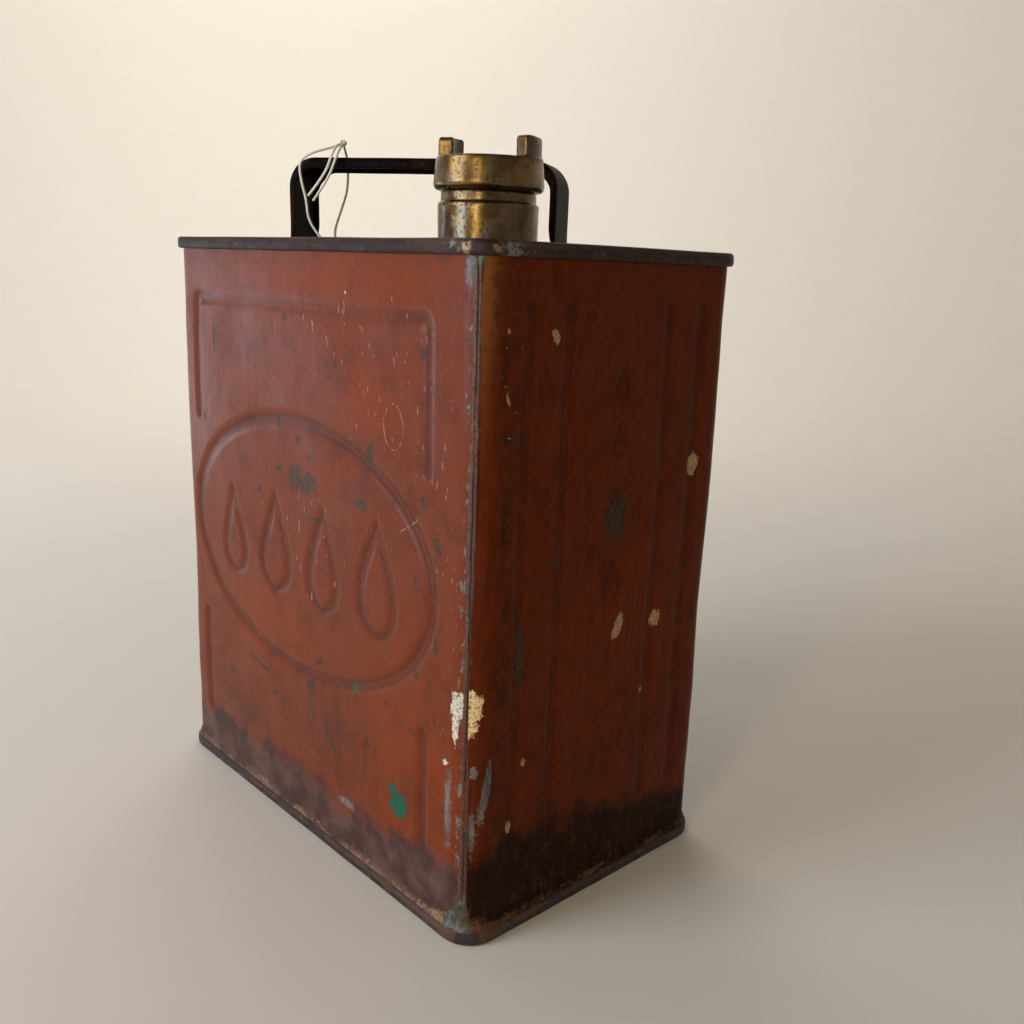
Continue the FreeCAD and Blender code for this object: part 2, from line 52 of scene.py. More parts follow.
# ---- sizes taken from the frame

RIM_OVERHANG = 2.6
TOP_RECESS = 5.5
BOTTOM_RECESS = 4.8
SHEET = 0.7
CORNER = 12.0
SEAM_ANGLE = 54.0

rim_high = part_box("top_plate")[1] / MM
HEIGHT = rim_high.z
HALF_X = rim_high.x - RIM_OVERHANG
HALF_Y = rim_high.y - RIM_OVERHANG
neck_low, neck_high = (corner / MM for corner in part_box("neck_collar"))
NECK = (neck_low + neck_high) / 2
cap_low, cap_high = (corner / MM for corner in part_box("screw_cap"))
DIAGONAL = math.atan2(HALF_Y, HALF_X)

# The outline is measured round the body from the near seam, by the front panel, to the far seam,
# and on by the back panel.
NEAR_BEND = CORNER * math.radians(90 - SEAM_ANGLE)
FRONT_RUN = 2.0 * (HALF_X - CORNER)
QUARTER = CORNER * math.pi / 2
SIDE_RUN = 2.0 * (HALF_Y - CORNER)
FAR_BEND = CORNER * math.radians(SEAM_ANGLE)
HALF_ROUND = NEAR_BEND + FRONT_RUN + QUARTER + SIDE_RUN + FAR_BEND


def outline(along):
    """Points on the body's plan outline, and the outward directions there."""
    along = np.mod(np.asarray(along, float), 2 * HALF_ROUND)
    second = along >= HALF_ROUND
    s = np.where(second, along - HALF_ROUND, along)
    ends = np.cumsum([NEAR_BEND, FRONT_RUN, QUARTER, SIDE_RUN, FAR_BEND])
    cx, cy = HALF_X - CORNER, HALF_Y - CORNER
    turn_1 = -math.radians(SEAM_ANGLE) - s / CORNER
    turn_3 = -math.pi / 2 - (s - ends[1]) / CORNER
    turn_5 = -math.pi - (s - ends[3]) / CORNER
    part = [s < ends[0], s < ends[1], s < ends[2], s < ends[3]]
    nx = np.select(part, [np.cos(turn_1), 0, np.cos(turn_3), -1], np.cos(turn_5))
    ny = np.select(part, [np.sin(turn_1), -1, np.sin(turn_3), 0], np.sin(turn_5))
    x = np.select(part, [cx, cx - (s - ends[0]), -cx, -cx], -cx) + CORNER * nx
    y = np.select(part, [-cy, -cy, -cy, -cy + (s - ends[2])], cy) + CORNER * ny
    sign = np.where(second, -1, 1)
    return np.stack([x, y, nx, ny]) * sign


def front_at(x):
    """Distance along the outline of a point on the front panel."""
    return NEAR_BEND + HALF_X - CORNER - x


def right_at(y):
    """Distance along the back sheet of a point on the right panel."""
    return HALF_ROUND - FAR_BEND - (y + HALF_Y - CORNER)


def on_outline(along, out, level):
    """Points that stand out from the body's outline by a distance, at a level."""
    x, y, nx, ny = outline(along)
    return np.stack([x + nx * out, y + ny * out, np.broadcast_to(level, x.shape)], axis=-1)


# ---- mesh helpers


def smooth(value, low, high):
    t = np.clip((value - low) / (high - low), 0, 1)
    return t * t * (3 - 2 * t)


def ripple(a, b, seed, size):
    """Gentle unevenness between about -1 and 1, with waves of roughly that size."""
    random = np.random.default_rng(seed)
    total = 0
    for _ in range(12):
        angle, phase = random.uniform(0, 2 * math.pi, 2)
        wave = 2 * math.pi / (size * random.uniform(0.7, 1.6))
        total = total + np.sin(wave * (a * math.cos(angle) + b * math.sin(angle)) + phase)
    return total / 4


def grid_faces(rows, columns, wrap_rows=False, wrap_columns=False, start=0):
    """Quads between the points of a grid that are numbered row by row."""
    faces = []
    for i in range(rows if wrap_rows else rows - 1):
        for j in range(columns if wrap_columns else columns - 1):
            below, right = (i + 1) % rows, (j + 1) % columns
            corners = (i * columns + j, i * columns + right)
            corners += (below * columns + right, below * columns + j)
            faces.append(tuple(start + corner for corner in corners))
    return faces


def add_object(name, data):
    made = bpy.data.objects.new(name, data)
    bpy.context.scene.collection.objects.link(made)
    return made


def mesh_object(name, points, faces):
    """A welded mesh object from points in millimetres, with its faces turned outwards."""
    mesh = bpy.data.meshes.new(name)
    mesh.from_pydata((np.asarray(points, float) * MM).tolist(), [], faces)
    work = bmesh.new()
    work.from_mesh(mesh)
    bmesh.ops.remove_doubles(work, verts=work.verts, dist=1e-7)
    bmesh.ops.recalc_face_normals(work, faces=work.faces)
    work.to_mesh(mesh)
    work.free()
    return add_object(name, mesh)


def make_piece(name, points, faces, material, body, node, sharp=35):
    """A smooth-shaded mesh piece that rides on a body and stands for a CAD node."""
    piece = mesh_object(name, points, faces)
    piece.data.materials.append(material)
    piece.data.shade_smooth()
    piece.data.set_sharp_from_angle(angle=math.radians(sharp))
    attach(piece, body)
    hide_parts(node)
    return piece



def shell_faces(rows, columns):
    """Faces of a thin closed shell: a grid of points, then the grid inside it, joined round the edge."""
    count = rows * columns
    faces = grid_faces(rows, columns)
    faces += [tuple(reversed(face)) for face in grid_faces(rows, columns, start=count)]
    rim = list(range(columns))
    rim += [i * columns + columns - 1 for i in range(1, rows)]
    rim += [(rows - 1) * columns + j for j in range(columns - 2, -1, -1)]
    rim += [i * columns for i in range(rows - 2, 0, -1)]
    for here, following in zip(rim, rim[1:] + rim[:1]):
        faces.append((following, here, here + count, following + count))
    return faces


def raised(base, profile):
    """A profile of (radius or offset, level) points, measured from a base level."""
    return [(across, base + level) for across, level in profile]


def paint_points(piece, name, values):
    """Store one number per point, for the finishes to read."""
    layer = piece.data.attributes.new(name, "FLOAT", "POINT")
    layer.data.foreach_set("value", np.asarray(values, np.float32))


def spots(along, height, marks):
    """How far points are inside the nearest of some oval marks: 1 in a middle, 0 on an edge."""
    best = np.full(np.shape(along), -1)
    for middle, level, wide, tall, tilt in marks:
        turn = math.radians(tilt)
        across, up = along - middle, height - level
        a = (across * math.cos(turn) + up * math.sin(turn)) / wide
        b = (up * math.cos(turn) - across * math.sin(turn)) / tall
        best = np.maximum(best, 1 - np.sqrt(a * a + b * b))
    return best


def rounded_profile(points, radii, steps=4):
    """A closed outline with its corners rounded by short arcs."""
    count = len(points)
    result = []
    for index in range(count):
        here = np.array(points[index], float)
        radius = radii[index]
        if radius == 0:
            result.append(here)
            continue
        back = np.array(points[index - 1], float) - here
        ahead = np.array(points[(index + 1) % count], float) - here
        reach = min(np.linalg.norm(back), np.linalg.norm(ahead)) * 0.49
        back /= np.linalg.norm(back)
        ahead /= np.linalg.norm(ahead)
        half = math.acos(np.clip(back @ ahead, -1, 1)) / 2
        reach = min(reach, radius / math.tan(half))
        for step in range(steps + 1):
            t = step / steps
            start, end = here + back * reach, here + ahead * reach
            result.append((1 - t) ** 2 * start + 2 * t * (1 - t) * here + t * t * end)
    return result


# ---- node helpers


class Value:
    """A number or colour that a node puts out at every point, with arithmetic that adds more nodes."""

    def __init__(self, tree, kind, output, inputs, **settings):
        self.tree = tree
        node = tree.nodes.new(kind)
        for name, value in settings.items():
            setattr(node, name, value)
        for name, value in inputs.items():
            feed(tree, node.inputs[name], value)
        self.socket = node.outputs[output]

    def maths(self, operation, other=0):
        return Value(self.tree, "ShaderNodeMath", 0, {0: self, 1: other}, operation=operation)

    def __add__(self, other):
        return self.maths("ADD", other)

    def __sub__(self, other):
        return self.maths("SUBTRACT", other)

    def __mul__(self, other):
        return self.maths("MULTIPLY", other)

    def __abs__(self):
        return self.maths("ABSOLUTE")

    def most(self, *others):
        """The largest of this value and some others."""
        result = self
        for other in others:
            result = result.maths("MAXIMUM", other)
        return result

    def step(self, low, high, to_low=0, to_high=1):
        """A soft step, from to_low where this value is at low to to_high where it is at high."""
        inputs = {"Value": self, "From Min": low, "From Max": high, "To Min": to_low, "To Max": to_high}
        return Value(self.tree, "ShaderNodeMapRange", 0, inputs, interpolation_type="SMOOTHSTEP")


def feed(tree, socket, value):
    if isinstance(value, Value):
        tree.links.new(value.socket, socket)
    else:
        socket.default_value = value


class Finish:
    """A node material being built. Its colour is laid on in coats, given on the 0 to 255 scale."""

    def __init__(self, name):
        self.material = bpy.data.materials.new(name)
        self.material.use_nodes = True
        self.tree = self.material.node_tree
        self.tree.nodes.clear()
        self.shader = self.tree.nodes.new("ShaderNodeBsdfPrincipled")
        output = self.tree.nodes.new("ShaderNodeOutputMaterial")
        self.tree.links.new(self.shader.outputs[0], output.inputs[0])
        self.place = self.value("ShaderNodeTexCoord", "Object", {})

    def value(self, kind, output, inputs, **settings):
        return Value(self.tree, kind, output, inputs, **settings)

    def stored(self, name):
        return self.value("ShaderNodeAttribute", "Fac", {}, attribute_name=name)

    def level(self):
        """Height in millimetres."""
        return self.value("ShaderNodeSeparateXYZ", "Z", {0: self.place}) * (1 / MM)

    def pattern(self, kind, size, seed, stretch, **inputs):
        """A texture node whose spots are about size millimetres across."""
        shift = (seed, seed * 0.7, seed * 1.3)
        place = {0: self.place, 1: stretch, 2: shift}
        place = self.value("ShaderNodeVectorMath", 0, place, operation="MULTIPLY_ADD")
        return self.value(kind, 0, {"Vector": place, "Scale": 1 / (size * MM), **inputs})

    def noise(self, size, seed, detail=4, rough=0.55, stretch=(1, 1, 1)):
        return self.pattern("ShaderNodeTexNoise", size, seed, stretch, Detail=detail, Roughness=rough)

    def cells(self, size, seed):
        return self.pattern("ShaderNodeTexVoronoi", size, seed, (1, 1, 1))

    def mix(self, amount, a, b):
        inputs = {"Factor": amount}
        for socket, colour in ((6, a), (7, b)):
            inputs[socket] = (*srgb(*colour), 1) if isinstance(colour, tuple) else colour
        return self.value("ShaderNodeMix", 2, inputs, data_type="RGBA")

    def base(self, amount, a, b):
        self.colour = self.mix(amount, a, b)

    def coat(self, amount, colour):
        self.base(amount, self.colour, colour)

    def relief(self, *layers):
        """Fine relief from pairs of a 0 to 1 height and its depth in millimetres, negative if sunk."""
        normal = {}
        for height, depth in layers:
            inputs = {"Height": height, "Distance": abs(depth) * MM, "Strength": 1, **normal}
            normal = {"Normal": self.value("ShaderNodeBump", 0, inputs, invert=depth < 0)}
        return normal["Normal"]

    def done(self, **inputs):
        for name, value in {"Base_Color": self.colour, **inputs}.items():
            feed(self.tree, self.shader.inputs[name.replace("_", " ")], value)
        return self.material


def srgb(red, green, blue):
    """A colour given on the usual 0 to 255 scale, as the linear numbers that shaders use."""
    parts = [value / 255 for value in (red, green, blue)]
    return tuple(p / 12.92 if p <= 0.04045 else ((p + 0.055) / 1.055) ** 2.4 for p in parts)


BRICK = (119, 51, 22)
ORANGE = (128, 52, 10)
# Pale lilac: paint bloom mixed with painted sheen.
HAZE_AND_SHEEN = (106, 66, 62)
DEEP = (70, 28, 14)
GRIME = (66, 46, 44)
SLATE = (70, 66, 56)
GREEN = (20, 92, 68)
CHALK = (224, 218, 204)
TAN = (176, 142, 116)
RUST = (124, 76, 34)
LEAD = (134, 138, 140)


# ---- finishes


def red_paint():
    """Brick-red paint on sheet steel: bloomed, streaked, speckled, chipped and grimy at the foot, with
    painted sheen in its grooves and haze patches, painted shade in its creases and painted shade over the
    whole back sheet.
    """
    f = Finish("red_paint")
    cloud = f.noise(80, seed=1, detail=3)
    blotch = f.noise(14, seed=2, detail=6, rough=0.6)
    streak = f.noise(5, seed=3, detail=6, stretch=(1, 1, 0.14), rough=0.6)
    drag = f.noise(1.6, seed=14, detail=5, stretch=(1, 1, 0.12), rough=0.65)
    grain = f.noise(1.1, seed=4, detail=5, rough=0.6)
    ragged = f.noise(4.5, seed=5, detail=8, rough=0.7) - 0.5
    fray = f.noise(1.8, seed=15, detail=6, rough=0.7) - 0.5
    edge = ragged + fray * 0.7
    uneven = streak - 0.5
    torn = ragged * 2.2 + fray * 3
    shaded_side = f.stored("oily")

    # The paint and its bloom, streaks and stains; the pale haze coat is bloom and painted sheen, strongest
    # in the grooves and the haze patches.
    f.base((cloud + f.stored("warm") * 0.3).step(0.42, 0.68), BRICK, ORANGE)
    f.coat(blotch.step(0.46, 0.7) * 0.4, DEEP)
    haze = (f.stored("haze") * 0.5 + uneven * 1.6 + ragged * 1.2).step(0, 0.75)
    bloom_and_sheen = haze.most(f.stored("sunk").step(0.25, 0.9) * 0.3)
    f.coat(bloom_and_sheen * 0.22, HAZE_AND_SHEEN)
    # Fine upright streaks in the same colour of bloom and painted sheen.
    f.coat(drag.step(0.56, 0.74) * 0.3, HAZE_AND_SHEEN)
    f.coat(grain.step(0.4, 0.75) * 0.2, DEEP)
    # Painted shade: the whole back sheet, with the right panel, is darkened towards deep brown.
    shade_amount = (drag + edge * 0.5).step(0.3, 0.66) * 0.3 + 0.3
    f.coat(shaded_side * shade_amount, (58, 20, 5))
    # Painted shade with dirt: darker where the pressed grooves curve in.
    f.coat((f.stored("crease") + edge * 0.7).step(0.15, 0.7) * 0.42, (48, 26, 20))
    stain = f.stored("stain") + uneven * 3 + ragged * 3.2
    f.coat(stain.step(0.15, 1.1) * 0.4, (58, 32, 24))
    field = f.noise(26, seed=7).step(0.46, 0.62).most(f.stored("worn"))
    speck = f.noise(1.9, seed=6, detail=3, stretch=(1, 1, 0.55)).step(0.66, 0.71) * field
    f.coat(speck * 0.75, (46, 32, 28))
    rubbed = (f.stored("rubbed") + (f.noise(20, seed=9) - 0.5) * 2).step(0, 0.7)
    nick = f.noise(1.5, seed=8, detail=3, stretch=(1, 1, 0.25)).step(0.645, 0.7) * rubbed
    f.coat(nick * 0.7, (172, 144, 148))

    # Dirt at the foot, and the dry scuff below it, both darker on the back sheet as painted shade.
    grime = (f.stored("grime") + uneven * 0.7 + (blotch - 0.5) * 2.2 + edge).step(-0.45, 0.5)
    dusty = f.mix(blotch.step(0.4, 0.62), (96, 74, 72), GRIME)
    # Near-black foot colour for the back sheet: dirt with painted shade.
    oily = f.mix((drag + edge).step(0.5, 0.75), (26, 17, 14), (66, 48, 28))
    f.coat(grime * 0.9, f.mix(shaded_side, dusty, oily))
    dry = f.noise(9, seed=18, detail=8, stretch=(0.6, 0.6, 1.6), rough=0.72) - 0.5
    scuff = (f.stored("scuff") + dry * 3.4 + fray * 1.2).step(0.15, 0.75)
    tan = f.mix(grain.step(0.4, 0.62), TAN, (120, 84, 62))
    f.coat(scuff * 0.7, f.mix(shaded_side * 0.7, tan, (92, 58, 30)))

    # Chips down to the metal, and drops of green paint.
    chip = (f.stored("chips") + torn).step(0.12, 0.3)
    f.coat(chip * 0.8, f.mix(grain.step(0.38, 0.6), SLATE, (50, 46, 42)))
    green = (f.stored("green") + edge * 1.7).step(0, 0.12)
    f.coat(green, GREEN)

    # Rust, oil runs and cream flecks beside the seam on the right panel.
    right_seam = f.stored("right_seam")
    rusty = (right_seam + ragged * 12).step(10, 4) * (f.level() + edge * 90).step(196, 272)
    brown = f.mix((right_seam * 0.06 + edge).step(0.14, 0.5), RUST, (72, 54, 28))
    f.coat(rusty * 0.8, f.mix(speck * 0.8, brown, (44, 30, 18)))
    oil_run = right_seam.step(21, 12) * right_seam.step(7, 12) * (streak + edge).step(0.5, 0.62)
    f.coat(oil_run * 0.75, (44, 34, 20))
    cream = f.noise(3, seed=16, detail=6, rough=0.7).step(0.6, 0.64) * f.level().step(180, 210)
    f.coat(oil_run * cream, (190, 182, 140))

    # Bare solder beside the seam on the front panel, and grey smears.
    near = f.stored("left_seam").step(7.5, 1.4)
    run = f.noise(2.6, seed=17, detail=7, stretch=(1, 1, 0.45), rough=0.7)
    flake = (run + near * 0.13).step(0.63, 0.69) * near.step(0.05, 0.4)
    f.coat(flake * 0.85, f.mix(grain.step(0.4, 0.62), LEAD, (92, 104, 96)))
    lead = (f.stored("lead") + edge * 2).step(0.1, 0.4)
    f.coat(lead * 0.7, f.mix(drag.step(0.4, 0.6), LEAD, (84, 92, 92)))

    # Chips that show pale undercoat, and fine scratches.
    dull = (f.stored("dull") + torn * 0.45).step(0.02, 0.2)
    f.coat(dull, f.mix(grain.step(0.44, 0.62), (178, 146, 110), (142, 110, 80)))
    white = (f.stored("white") + torn * 0.55).step(0.02, 0.08)
    f.coat(white, f.mix(grain.step(0.5, 0.6), CHALK, (146, 138, 132)))
    buff = (f.stored("buff") + torn * 0.5).step(0.02, 0.1)
    f.coat(buff, f.mix(grain.step(0.48, 0.6), (238, 214, 170), (196, 150, 92)))
    f.coat(buff * f.noise(2.6, seed=19, rough=0.65).step(0.59, 0.65), (146, 78, 30))
    scratch = abs(f.stored("scratch")).step(0.3, 0.1) * drag.step(0.42, 0.56)
    f.coat(scratch * 0.5, (206, 182, 172))

    rough = blotch * 0.2 + (grain * 0.16 + 0.17) + grime.most(chip, bloom_and_sheen) * 0.1
    relief = f.relief((blotch, 0.3), (streak, 0.1), (drag, 0.04), (grain, 0.055), (nick, 0.08),
                      (chip.most(green, flake, speck), -0.1), (white.most(buff), 0.12))
    gloss = shaded_side.step(0, 1, 0.24, 0.05)
    return f.done(Roughness=rough, Normal=relief, Specular_IOR_Level=gloss)


def seam_paint(name, colour_a, colour_b, worn_colour):
    """Dark paint and oil film on a folded seam, rubbed to a lighter tone along its edge."""
    f = Finish(name)
    blotch = f.noise(12, seed=11, detail=6)
    fleck = f.noise(2, seed=13, detail=3)
    patch = f.noise(34, seed=15, detail=9, rough=0.68)
    mottle = f.noise(3, seed=14, detail=8, rough=0.75)
    f.base(blotch.step(0.4, 0.62), colour_a, colour_b)
    f.coat(patch.step(0.5, 0.56) * (f.stored("plate") * 0.75), (96, 42, 26))
    f.coat(fleck.step(0.63, 0.7) * 0.55, worn_colour)
    f.coat((f.stored("rubbed") + (blotch - 0.5) * 2.4).step(0.1, 0.6) * 0.45, worn_colour)
    bare = (f.stored("bare") + (mottle - 0.5) * 3.6).step(0.1, 0.7)
    metal = f.mix(blotch.step(0.44, 0.6), (132, 136, 142), (158, 122, 70))
    f.coat(bare * 0.85, f.mix(mottle.step(0.56, 0.44), metal, (70, 58, 48)))
    relief = f.relief((blotch, 0.4), (f.noise(1.2, seed=12), 0.08))
    return f.done(Metallic=bare * 0.8, Roughness=blotch * 0.3 + 0.3, Specular_IOR_Level=0.2, Normal=relief)


def solder_metal(name, painted):
    """Dull grey-green soft solder with brown film in its hollows, or under worn paint."""
    f = Finish(name)
    lump = f.noise(3, seed=21, detail=6, rough=0.65)
    fine = f.noise(1, seed=23)
    f.base(lump.step(0.38, 0.7), (64, 66, 60), (122, 126, 120))
    f.coat(f.noise(7, seed=22, detail=5).step(0.42, 0.6) * 0.65, (78, 52, 38))
    if painted:
        run = f.noise(4, seed=24, detail=6, stretch=(1, 1, 0.3), rough=0.7)
        paint = f.mix(fine.step(0.4, 0.62), (104, 66, 56), (74, 44, 34))
        f.base((run + f.stored("bare") * 0.4).step(0.56, 0.66), paint, f.colour)
        f.coat(f.stored("groove").step(0.2, 0.8) * 0.85, (26, 17, 15))
    return f.done(Roughness=lump * 0.3 + 0.3, Metallic=0.25, Normal=f.relief((lump, 0.4), (fine, 0.08)))


def aged_brass():
    """Cast brass with uneven brown patina, grey smears, pits and dark spots."""
    f = Finish("aged_brass")
    smear = f.noise(5, seed=32, detail=6, stretch=(1, 1, 0.6), rough=0.65)
    pits = f.noise(1.3, seed=33, detail=5, rough=0.7)
    f.base(f.noise(12, seed=31, detail=6).step(0.36, 0.64), (128, 98, 44), (78, 58, 27))
    f.coat(smear.step(0.5, 0.68) * 0.7, (112, 104, 92))
    f.coat(smear.step(0.46, 0.34) * 0.6, (52, 36, 22))
    dark = (pits + smear * 0.25).step(0.7, 0.77)
    f.coat(dark * 0.85, (26, 18, 12))
    relief = f.relief((smear, 0.1), (pits.step(0.55, 0.68), -0.12))
    return f.done(Metallic=dark.step(0, 1, 0.95, 0.4), Roughness=smear * 0.28 + dark * 0.25 + 0.16,
                  Coat_Weight=0.5, Coat_Roughness=0.22, Coat_IOR=1.55, Normal=relief)


def handle_iron():
    """Black-brown japanning with a few spots rubbed to brown steel."""
    f = Finish("handle_iron")
    cloud = f.noise(10, seed=41, detail=6)
    scrape = f.noise(3, seed=42, detail=5)
    f.base(cloud.step(0.42, 0.66), (11, 4, 3), (36, 16, 8))
    f.coat((f.stored("rubbed") + (scrape - 0.5) * 2.2).step(0.2, 0.9) * 0.6, (112, 82, 68))
    relief = f.relief((cloud, 0.25), (scrape, 0.08))
    return f.done(Roughness=cloud * 0.3 + 0.3, Specular_IOR_Level=0.04, Normal=relief)


def black_leather():
    f = Finish("black_leather")
    fibre = f.noise(0.8, seed=52, detail=5)
    f.base(fibre, (20, 14, 10), (46, 32, 24))
    return f.done(Roughness=0.72, Normal=f.relief((f.cells(1.4, seed=51), 0.12), (fibre, 0.06)))


def cotton():
    f = Finish("cotton_string")
    fibre = f.noise(0.5, seed=61)
    f.base(fibre, (232, 226, 214), (252, 250, 244))
    f.coat(f.noise(9, seed=62).step(0.5, 0.75) * 0.5, (206, 186, 156))
    return f.done(Roughness=0.9, Normal=f.relief((fibre, 0.1)))


RED = red_paint()
RIM = seam_paint("rim_paint", (52, 38, 40), (40, 26, 22), (92, 70, 62))
BASE = seam_paint("base_paint", (64, 54, 60), (44, 34, 36), (120, 92, 72))
SOLDER = solder_metal("soft_solder", False)
SEAM = solder_metal("painted_seam", True)
BRASS = aged_brass()
IRON = handle_iron()
LEATHER = black_leather()
COTTON = cotton()


# ---- body sheets

PATTERN_X = -4.5
BORDER_HALF_X = 96.0
BORDER_CORNER = 4.0
BORDER_TOP, BORDER_BOTTOM = 253.0, 28.0
BORDER_GAP = (88, 191)
GROOVE_DEPTH = 0.95
RIB_DEPTH = 0.75
OVAL_MIDDLE = 142.0
OVAL_X, OVAL_Z = 100.8, 59.5
RIBS = (-51, -30, 30, 51)
RIB_BOTTOM, RIB_TOP = 34.0, 262.0
DROPS = ((-66, 50), (-26, 54), (15, 54), (58, 58))
DROP_LEVEL = 115.0
SIDE_DROPS = ((229, 16), (206, 17), (177, 22), (146, 22))


def pressed(distance, half_width, depth):
    """Depth of a pressed groove with a nearly flat bottom and rounded flanks."""
    share = np.clip(np.abs(distance) / half_width, 0, 1)
    return depth * (1 - 0.15 * share * share) * smooth(share, 1, 0.42)


def drop_distance(x, z, size):
    """Distance from the outline of an upright oil drop that stands at z = 0 and is size tall."""
    t = np.clip(z / size, 0, 1)
    half = 0.8 * size * np.sqrt(t) * (1 - t) ** 1.25
    slope = np.gradient(half, axis=0) / np.maximum(np.gradient(z, axis=0), 1e-6)
    distance = (np.abs(x) - half) / np.sqrt(1 + np.clip(slope, -2.5, 2.5) ** 2)
    beyond = np.maximum(-z, z - size)
    return np.where(beyond > 0, np.hypot(np.maximum(distance, 0), beyond), distance)


def oval_distance(x, z, half_x, half_z):
    """Roughly the signed distance from an upright oval round the origin."""
    u, v = x / half_x, z / half_z
    k = np.sqrt(u * u + v * v) + 1e-6
    return (k - 1) * k / np.hypot(u / half_x, v / half_z)


def wide_relief(x, z):
    """Pressed pattern of a wide panel: broken border, oval ring and a row of plain oil drops."""
    x = x - PATTERN_X
    qx = np.abs(x) - BORDER_HALF_X + BORDER_CORNER
    qz = np.abs(z - (BORDER_TOP + BORDER_BOTTOM) / 2) - (BORDER_TOP - BORDER_BOTTOM) / 2 + BORDER_CORNER
    border = np.hypot(np.maximum(qx, 0), np.maximum(qz, 0)) + np.minimum(np.maximum(qx, qz), 0)
    past_end = np.minimum(z - BORDER_GAP[0], BORDER_GAP[1] - z)
    border = np.hypot(border - BORDER_CORNER, np.maximum(past_end + 3, 0))
    level_run = smooth(np.abs(x), BORDER_HALF_X - BORDER_CORNER, BORDER_HALF_X - 26)
    depth = pressed(border, 4.2, GROOVE_DEPTH) * (1 - 0.45 * level_run)
    ring = oval_distance(x, z - OVAL_MIDDLE, OVAL_X, OVAL_Z)
    depth = np.maximum(depth, pressed(ring, 4.5, GROOVE_DEPTH * 1.05))
    for place, size in DROPS:
        stroke = drop_distance(x + PATTERN_X - place, z - DROP_LEVEL, size)
        depth = np.maximum(depth, pressed(stroke + 3.8, 4.2, 0.8))
    return depth


def narrow_relief(y, z):
    """Pressed pattern of a narrow panel: four upright grooves and a column of small plain drops."""
    depth = np.zeros_like(y)
    past = np.maximum(np.maximum(z - RIB_TOP + 4, RIB_BOTTOM + 4 - z), 0)
    for middle in RIBS:
        depth = np.maximum(depth, pressed(np.hypot(y - middle, past), 4.4, RIB_DEPTH))
    for level, size in SIDE_DROPS:
        stroke = drop_distance(y - 2, z - level + size / 2, size)
        depth = np.maximum(depth, pressed(stroke + 1.6, 2.2, 0.55))
    return depth


def sheet_relief(along, z):
    """How far a sheet stands out of the plain outline, at a distance along it."""
    wide = wide_relief(front_at(0) - along, z)
    side_start = NEAR_BEND + FRONT_RUN + QUARTER
    narrow = narrow_relief(side_start + SIDE_RUN / 2 - along, z)
    on_wide = (along > NEAR_BEND) & (along < NEAR_BEND + FRONT_RUN)
    on_narrow = (along > side_start) & (along < side_start + SIDE_RUN)
    relief = -np.where(on_wide, wide, 0) - np.where(on_narrow, narrow, 0)
    inside = smooth(z, 10, 40) * smooth(z, HEIGHT - 8, HEIGHT - 36)
    relief += 0.4 * inside * ripple(along, z, 5, 120) + 0.12 * inside * ripple(along, z, 6, 34)
    relief += 1.7 * smooth(z, 11, 5)
    return relief


def build_sheet(name, start, node, seed):
    """One of the two bent sheets as a thin closed shell, from its seam round to the other seam."""
    columns, rows = 290, 206
    a, z = np.meshgrid(np.linspace(0.12, HALF_ROUND - 0.12, columns), np.linspace(1, HEIGHT - 1, rows))
    relief = sheet_relief(a, z) + 0.1 * smooth(z, 20, 80) * ripple(a, z, seed, 60)
    layers = [on_outline(a + start, relief - depth, z).reshape(-1, 3) for depth in (0, SHEET)]
    faces = shell_faces(rows, columns)
    piece = make_piece(name, np.concatenate(layers), faces, RED, "can", node, 60)
    # How sharply the relief curves in, for the painted crease shade and dirt.
    curl = sum(np.gradient(np.gradient(relief, axis=axis), axis=axis) for axis in (0, 1))
    paint_points(piece, "sunk", np.tile((-relief / GROOVE_DEPTH).ravel(), 2))
    paint_points(piece, "crease", np.tile((curl / 0.3).ravel(), 2))
    return piece, np.tile(a.ravel(), 2), np.tile(z.ravel(), 2)


